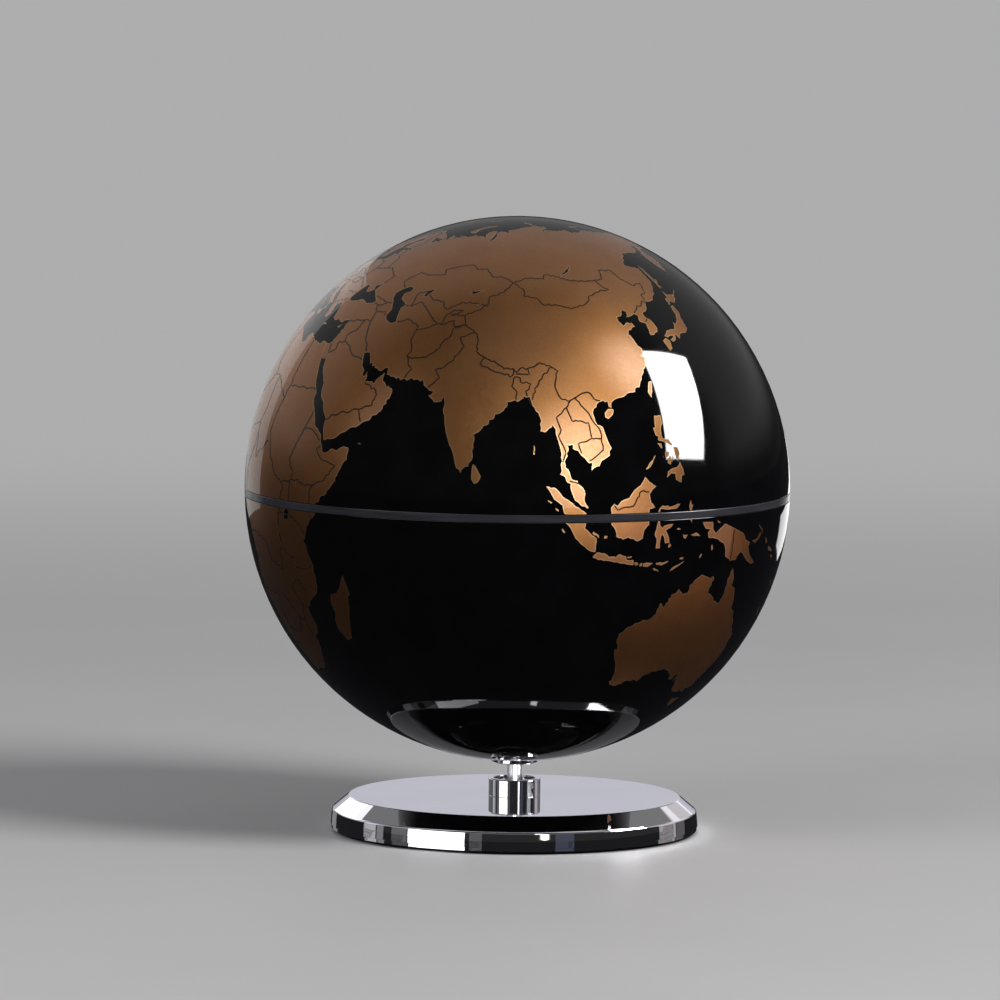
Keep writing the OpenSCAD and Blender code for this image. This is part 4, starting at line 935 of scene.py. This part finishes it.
# ---------------------------------------------------------------- the base, in millimetres
cover_z, cover_top = in_mm(cover_low.z), in_mm(cover_high.z)
base_r = in_mm(cover_high.x)
WALL_H, RIM_W, SHEET = 5.7, 6.7, 1.8  # the wall's height, the sloping rim's width, the sheet
COVER_HOLE_R = 7.2
WALL_LEAN = 0.5  # how far the wall's top stands back
WALL_MIDDLE_IN, WALL_CURVE_R = 0.18, 20  # the wall is slightly curved half way up
INNER_STEP = 1.0  # how far the sheet's inner bends lie inside the outer ones
inside_r = base_r - SHEET
cover_profile = [
    (COVER_HOLE_R, cover_top - SHEET, 0.2), (base_r - RIM_W - INNER_STEP, cover_top - SHEET, 0.6),
    (inside_r, cover_z + WALL_H - INNER_STEP, 0.6), (inside_r, cover_z, 0.2), (base_r, cover_z, 0.3),
    (base_r - WALL_MIDDLE_IN, cover_z + 0.5 * WALL_H, WALL_CURVE_R),
    (base_r - WALL_LEAN, cover_z + WALL_H, 1.3), (base_r - RIM_W, cover_top, 0.9),
    (COVER_HOLE_R, cover_top, 0.2)]
cover = lathe("chrome_cover", cover_profile, True, chrome, 256)
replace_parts(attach(cover, "stand"), "base_cover")

collar_r, collar_z = in_mm(collar_high.x), in_mm(collar_low.z)
collar_top, bearing_r = in_mm(collar_high.z), in_mm(bearing_high.x)
recess_z, race_z = in_mm(bearing_high.z), in_mm(bearing_low.z)
SHANK_R, RECESS_R, PIN_HOLE_R = 6.9, 7.7, 3.6
collar_profile = [
    (SHANK_R, collar_z, 0.2), (SHANK_R, cover_top, 0.05), (collar_r, cover_top, 0.15),
    (collar_r, collar_top, 0.5), (RECESS_R, collar_top, 0.25), (RECESS_R, recess_z, 0.3),
    (bearing_r, recess_z, 0.1), (bearing_r, race_z, 0.1), (PIN_HOLE_R, race_z, 0.1),
    (PIN_HOLE_R, collar_z, 0.2)]
collar = lathe("collar_turning", collar_profile, True, chrome, 128)
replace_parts(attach(collar, "stand"), "bearing_collar")

pad_r, pad_top = in_mm(pad_high.x), in_mm(pad_high.z)
pad_profile = [(0, 0, 0), (pad_r, 0, 0.35), (pad_r, pad_top, 0.2), (0, pad_top, 0)]
pad = lathe("foam_foot", pad_profile, False, foam, 256)
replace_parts(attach(pad, "stand"), "foot_pad")

# ---------------------------------------------------------------- CAD pieces that keep their shapes
for finish, names in (
        (chrome, ("pole_flange", "bottom_plate")),
        (satin, ("spindle", "spindle_spacer")),
        (bright_steel, ("bearing_outer_ring", "bearing_inner_ring", "bearing_balls")),
        (zinc, ("plate_screws", "collar_nut", "collar_washer", "stud_nut", "lock_washer",
                "backing_plate", "retaining_clip", "bearing_shields")),
        (brass, ("bearing_cage",)),
        (bronze, ("lower_bush", "thrust_washer")),
        (iron, ("ballast_weight",))):
    for name in names:
        for material_slot in frame["nodes"][name].material_slots:
            material_slot.material = finish

# ---------------------------------------------------------------- camera
scene = bpy.context.scene
HEIGHT_ANGLE, DISTANCE = math.radians(5.4), 3.2
SENSOR_W, LENS = 36, 314.1  # mm
AIM_LEFT, AIM_DOWN = 6.3 * MM, 4.25 * MM  # from the ball's middle, as the camera sees it
ROLL = math.radians(0.55)
toward = Vector((0, -math.cos(HEIGHT_ANGLE), math.sin(HEIGHT_ANGLE)))
right, up = Vector((1, 0, 0)), Vector((0, math.sin(HEIGHT_ANGLE), math.cos(HEIGHT_ANGLE)))
camera_data = bpy.data.cameras.new("camera")
camera_data.sensor_width = SENSOR_W
camera_data.lens = LENS
camera_data.clip_end = 60
camera = bpy.data.objects.new("camera", camera_data)
scene.collection.objects.link(camera)
place = middle + toward * DISTANCE
aim = middle - right * AIM_LEFT - up * AIM_DOWN
turn = (aim - place).to_track_quat("-Z", "Y").to_matrix().to_4x4()
camera.matrix_world = Matrix.Translation(place) @ turn @ Matrix.Rotation(ROLL, 4, "Z")
scene.camera = camera
scene.view_settings.view_transform = "Standard"

# ---------------------------------------------------------------- light, floor and backdrop
WHITE, WARM, RUSSET, ROSE = (1, 1, 1), (1, 1.07, 1), (1, 0.8, 0.76), (1, 0.93, 0.95)
BLUE, LILAC, LAMPLIGHT = (0.6, 0.68, 1), (0.43, 0.425, 0.49), (1, 0.97, 0.9)
# How far off the cards stand, in metres: for the ball, for the base, and the ring round the base
BALL_CARDS, BASE_CARDS, RING_CARDS = 2.6, 2.4, 2.5
STRIP_LENGTH = 2.3  # of a strip along the table
TABLE_GAP = 0.4 * MM  # the strips lie this far over the table
WALL_GAP = 1.004  # and start just outside the base's wall, at this many times its radius
DISC_SIDES, ARC_STEPS = 48, 12


def toward_place(azimuth, elevation, distance):
    """A point seen from the ball: azimuth 0 is in front, 90 on the right, elevation above it."""
    a, b = math.radians(azimuth), math.radians(elevation)
    flat = distance * math.cos(b)
    return middle + Vector((flat * math.sin(a), -flat * math.cos(a), distance * math.sin(b)))


def only_on(light, pieces):
    """The light or card only reaches these pieces."""
    if pieces:
        lit = bpy.data.collections.new(light.name + "_lights")
        for piece in pieces:
            lit.objects.link(piece)
        light.light_linking.receiver_collection = lit


def lamp(name, azimuth, elevation, distance, size, power, pieces=None):
    """A soft round lamp. Unless it is for some pieces only, the cards stand for it in reflections."""
    data = bpy.data.lights.new(name, "AREA")
    data.shape = "DISK"
    data.size = size
    data.energy = power
    obj = bpy.data.objects.new(name, data)
    scene.collection.objects.link(obj)
    obj.location = toward_place(azimuth, elevation, distance)
    obj.rotation_euler = (middle - obj.location).to_track_quat("-Z", "Y").to_euler()
    obj.visible_camera = False
    obj.visible_glossy = pieces is not None
    only_on(obj, pieces)


def card(name, points, strength, pieces, colour=WHITE, fade_over=0.0):
    """A bright sheet that only shows in these pieces' reflections, and lets what is behind it
    through. It may fade out over a distance from its middle."""
    mat = bpy.data.materials.new(name)
    mat.use_nodes = True
    nodes, links = mat.node_tree.nodes, mat.node_tree.links
    nodes.remove(nodes["Principled BSDF"])
    glow, clear = nodes.new("ShaderNodeEmission"), nodes.new("ShaderNodeBsdfTransparent")
    glow.inputs["Color"].default_value = (*colour, 1)
    glow.inputs["Strength"].default_value = strength
    both = nodes.new("ShaderNodeAddShader")
    links.new(glow.outputs["Emission"], both.inputs[0])
    links.new(clear.outputs["BSDF"], both.inputs[1])
    links.new(both.outputs["Shader"], nodes["Material Output"].inputs["Surface"])
    if fade_over:
        away = nodes.new("ShaderNodeVectorMath")
        away.operation = "DISTANCE"
        away.inputs[1].default_value = sum(points, Vector()) / len(points)
        links.new(nodes.new("ShaderNodeTexCoord").outputs["Object"], away.inputs[0])
        fade = nodes.new("ShaderNodeMapRange")
        fade.interpolation_type = "SMOOTHSTEP"
        fade.inputs["From Max"].default_value = fade_over
        fade.inputs["To Min"].default_value = strength
        fade.inputs["To Max"].default_value = 0
        links.new(away.outputs["Value"], fade.inputs["Value"])
        links.new(fade.outputs["Result"], glow.inputs["Strength"])
    obj = mesh_object(name, points, [tuple(range(len(points)))], None, mat)
    obj.visible_camera = False
    obj.visible_diffuse = False
    obj.visible_shadow = False
    obj.visible_transmission = False
    only_on(obj, pieces)


def block(azimuth_0, azimuth_1, elevation_0, elevation_1, distance):
    """Corners of an upright card between two azimuths and two elevations."""
    return [toward_place(a, e, distance) for a, e in (
        (azimuth_0, elevation_0), (azimuth_1, elevation_0), (azimuth_1, elevation_1),
        (azimuth_0, elevation_1))]


def disc(azimuth, elevation, distance, radius):
    """Corners of a round card that faces the ball."""
    centre = toward_place(azimuth, elevation, distance)
    out = (centre - middle).normalized()
    side = Vector((0, 0, 1)).cross(out).normalized()
    turns = [2 * math.pi * i / DISC_SIDES for i in range(DISC_SIDES)]
    return [centre + (side * math.cos(a) + out.cross(side) * math.sin(a)) * radius for a in turns]


def behind_arc(first, last, inner, outer, distance):
    """A card behind the ball between two angles off straight back, along an arc that starts at the
    right-hand horizon and runs over the top."""
    arc = [(first + (last - first) * i / ARC_STEPS, outer) for i in range(ARC_STEPS + 1)]
    arc += [(angle, inner) for angle, _ in arc[::-1]]
    points = []
    for along, off in arc:
        a, b = math.radians(along), math.radians(off)
        points.append(middle + Vector((math.sin(b) * math.cos(a), math.cos(b),
                                       math.sin(b) * math.sin(a))) * distance)
    return points


def strip(azimuth_0, azimuth_1, top, strength, colour=WHITE, pieces=None):
    """A card that the base's wall, or the given pieces, show between two reflected azimuths: it lies
    on the table from the wall outwards, then stands up to the given elevation."""
    pieces = pieces or base_pieces
    lift = Vector((0, 0, TABLE_GAP))
    near, far = [], []
    for azimuth in (azimuth_0, azimuth_1):
        a, half = math.radians(azimuth), math.radians(azimuth) / 2
        foot = Vector((math.sin(half), -math.cos(half), 0)) * cover_high.x * WALL_GAP
        end = foot + Vector((math.sin(a), -math.cos(a), 0)) * STRIP_LENGTH
        near.append(foot + lift)
        far.append(end + lift)
    height = Vector((0, 0, STRIP_LENGTH * math.tan(math.radians(top))))
    name = f"strip_{azimuth_0}"
    card(name + "_table", [near[0], far[0], far[1], near[1]], strength, pieces, colour)
    card(name, [far[0], far[1], far[1] + height, far[0] + height], strength, pieces, colour)


def window_outline():
    """Corners of the window, on an upright plane to the ball's right. Its sides lean back and bow a
    little towards the camera. The corners are metres from the ball's middle, as (back, up)."""
    bow, steps = 0.05, 4
    sides = []
    for foot, top in (((-1.15, 0.65), (-0.25, 3.05)), ((-0.2, 0.45), (0.8, 2.0))):
        side = []
        for i in range(steps + 1):
            t = i / steps
            back, height = Vector(foot).lerp(Vector(top), t)
            side.append(middle + Vector((BALL_CARDS, back - 4 * bow * t * (1 - t), height)))
        sides.append(side)
    return sides[0] + sides[1][::-1]


copper_pieces = [bpy.data.objects[n] for n in ("upper_land", "lower_land", "coast_lines")]
seam_pieces = [bpy.data.objects[n] for n in ("upper_edge", "lower_edge", "seam_band")]
dark_pieces = [bpy.data.objects[n] for n in ("upper_sea", "lower_sea")] + seam_pieces
ball_pieces = dark_pieces + copper_pieces + [borders]
pin_pieces = [frame["nodes"][n] for n in ("spindle", "spindle_spacer")]
base_pieces = [cover, collar, frame["nodes"]["pole_flange"], frame["nodes"]["bottom_plate"]]

# Lamps that light matt surfaces, and one that only the pin shows
lamp("key", 55, 38, 2.6, 1.1, 40)
lamp("fill", -50, 30, 2.8, 1.6, 14)
lamp("pin_light", 10, 5, 2.6, 1.7, 140, pin_pieces)

# Cards that the ball shows. The base shows the window too.
card("window", window_outline(), 24, dark_pieces + base_pieces)
card("copper_glow", disc(28, 15, BALL_CARDS, 1.5), 5.6, copper_pieces, WARM, 1.5)
card("copper_glow_east", disc(72, 44, BALL_CARDS, 0.95), 5.0, copper_pieces, WARM, 0.95)
card("copper_top", disc(10, 66, BALL_CARDS, 1.5), 0.12, copper_pieces, WHITE, 1.5)
card("copper_left", disc(-62, 22, BALL_CARDS, 1.3), 0.55, copper_pieces, WHITE, 1.3)
card("left_curtain", behind_arc(198, 130, 4, 46, 1.0), 0.44, ball_pieces)
card("right_paper", behind_arc(-12, -24, 8, 39, 0.63), 1.7, ball_pieces)
card("copper_low", block(28, 92, -19, 0, 0.36), 0.42, copper_pieces, RUSSET)

# Strips that the base's wall shows, then those that the pin shows
for first, last, top, strength, colour in (
        (-166, -151, 8, 0.25, WHITE), (-109, -97, 20, 0.55, WHITE), (-96, -90, 14, 0.25, WHITE),
        (-83, -71, 12, 0.15, WHITE), (-70, -31, 16, 3.0, WHITE), (-28, -20, 10, 0.12, WHITE),
        (26, 38, 9, 0.09, BLUE), (104, 123, 14, 0.45, ROSE), (124, 136, 14, 0.12, ROSE)):
    strip(first, last, top, strength, colour)
for first, last in ((-120, -46), (-36, 24), (34, 120)):
    strip(first, last, 14, 0.7, pieces=pin_pieces)

# Cards that the base shows, with a ring round it for its top, and the seam's own card
card("glint", disc(19, 3.5, BASE_CARDS, 0.16), 9.0, base_pieces, LAMPLIGHT, 0.16)
card("base_side", block(58, 76, 2, 7, BASE_CARDS), 0.5, base_pieces)
card("above_front", block(-80, 70, 26, 62, BASE_CARDS), 1.2, base_pieces)
card("rim_left", behind_arc(161, 136, 18, 58, BASE_CARDS), 1.2, base_pieces)
card("rim_right", behind_arc(24, 42, 16, 52, BASE_CARDS), 0.45, base_pieces, ROSE)
card("base_back", block(160, 200, -2.5, 13, RING_CARDS), 1.0, base_pieces, LILAC)
for azimuth in range(-150, 150, 30):
    strength = 0.4 if -60 <= azimuth < 60 else 0.9
    ring_card = block(azimuth, azimuth + 30, 6.5, 26, RING_CARDS)
    card(f"around_{azimuth}", ring_card, strength, base_pieces, LILAC)
card("rim_glint", block(13, 18, 10, 15, BASE_CARDS), 9, [cover])
card("rim_glint_wide", block(64, 92, 5, 15, BASE_CARDS), 20, [cover])
card("seam_light", block(-80, 80, 25, 70, BASE_CARDS), 6.0, seam_pieces)

BACKDROP = (0.42, 0.42, 0.42)  # what the camera sees behind the globe
AMBIENT = (0.16, 0.16, 0.17)  # what lights matt surfaces
ROOM_DARK, ROOM_WALL = 0.03, 0.24  # what reflections show of the room


def studio_world():
    """A pale backdrop to the camera and an even light to matt surfaces. Reflections show a dark
    room, with a lighter wall behind the globe and over the table."""
    world = bpy.data.worlds.new("studio")
    world.use_nodes = True
    nodes, links = world.node_tree.nodes, world.node_tree.links
    direct = nodes["Background"]
    direct.inputs["Color"].default_value = (*BACKDROP, 1)
    ambient = nodes.new("ShaderNodeBackground")
    ambient.inputs["Color"].default_value = (*AMBIENT, 1)
    around = nodes.new("ShaderNodeBackground")
    direction = nodes.new("ShaderNodeSeparateXYZ")
    links.new(nodes.new("ShaderNodeTexCoord").outputs["Generated"], direction.inputs["Vector"])
    wall = None
    for axis, start, end in (("Y", -0.05, 0.35), ("Z", 0.02, 0.2)):
        part = nodes.new("ShaderNodeMapRange")
        part.interpolation_type = "SMOOTHSTEP"
        part.inputs["From Min"].default_value = start
        part.inputs["From Max"].default_value = end
        links.new(direction.outputs[axis], part.inputs["Value"])
        if wall:
            links.new(wall.outputs["Result"], part.inputs["To Max"])
        wall = part
    shade = nodes.new("ShaderNodeMapRange")
    shade.inputs["To Min"].default_value = ROOM_DARK
    shade.inputs["To Max"].default_value = ROOM_WALL
    links.new(wall.outputs["Result"], shade.inputs["Value"])
    links.new(shade.outputs["Result"], around.inputs["Color"])
    rays = nodes.new("ShaderNodeLightPath")
    light_or_room, result = nodes.new("ShaderNodeMixShader"), nodes.new("ShaderNodeMixShader")
    links.new(rays.outputs["Is Glossy Ray"], light_or_room.inputs["Fac"])
    links.new(ambient.outputs["Background"], light_or_room.inputs[1])
    links.new(around.outputs["Background"], light_or_room.inputs[2])
    links.new(rays.outputs["Is Camera Ray"], result.inputs["Fac"])
    links.new(light_or_room.outputs["Shader"], result.inputs[1])
    links.new(direct.outputs["Background"], result.inputs[2])
    links.new(result.outputs["Shader"], nodes["World Output"].inputs["Surface"])
    return world


scene.world = studio_world()

FLOOR_SIDES, FLOOR_R = 96, 12.0
TABLE_R, BACKDROP_R = 0.45, 1.6  # between them the floor turns into the backdrop's colour
TABLE_IN_REFLECTIONS = (0.016, 0.016, 0.018)


def floor_look():
    """A pale table top that takes the backdrop's colour far from the globe, so no edge shows.
    Reflections show it darker, as a table in a dim room."""
    look = Look("floor", Roughness=0.5)
    look.colour(look.ramp(look.noise(6, 4), (0.3, (0.79, 0.78, 0.78)), (0.7, (0.82, 0.81, 0.81))))
    far = look.nodes.new("ShaderNodeEmission")
    far.inputs["Color"].default_value = (*BACKDROP, 1)
    length = look.nodes.new("ShaderNodeVectorMath")
    length.operation = "LENGTH"
    look.links.new(look.place, length.inputs[0])
    fade = look.nodes.new("ShaderNodeMapRange")
    fade.interpolation_type = "SMOOTHSTEP"
    fade.inputs["From Min"].default_value = TABLE_R
    fade.inputs["From Max"].default_value = BACKDROP_R
    look.links.new(length.outputs["Value"], fade.inputs["Value"])
    mix = look.nodes.new("ShaderNodeMixShader")
    look.links.new(fade.outputs["Result"], mix.inputs["Fac"])
    look.links.new(look.shader.outputs["BSDF"], mix.inputs[1])
    look.links.new(far.outputs["Emission"], mix.inputs[2])
    dim = look.nodes.new("ShaderNodeEmission")
    dim.inputs["Color"].default_value = (*TABLE_IN_REFLECTIONS, 1)
    rays = look.nodes.new("ShaderNodeLightPath")
    reflected = look.nodes.new("ShaderNodeMixShader")
    look.links.new(rays.outputs["Is Glossy Ray"], reflected.inputs["Fac"])
    look.links.new(mix.outputs["Shader"], reflected.inputs[1])
    look.links.new(dim.outputs["Emission"], reflected.inputs[2])
    look.links.new(reflected.outputs["Shader"], look.nodes["Material Output"].inputs["Surface"])
    return look.material


floor_turns = [2 * math.pi * i / FLOOR_SIDES for i in range(FLOOR_SIDES)]
rim = [(FLOOR_R * math.cos(a), FLOOR_R * math.sin(a), 0) for a in floor_turns]
mesh_object("floor", rim, [tuple(range(FLOOR_SIDES))], None, floor_look())
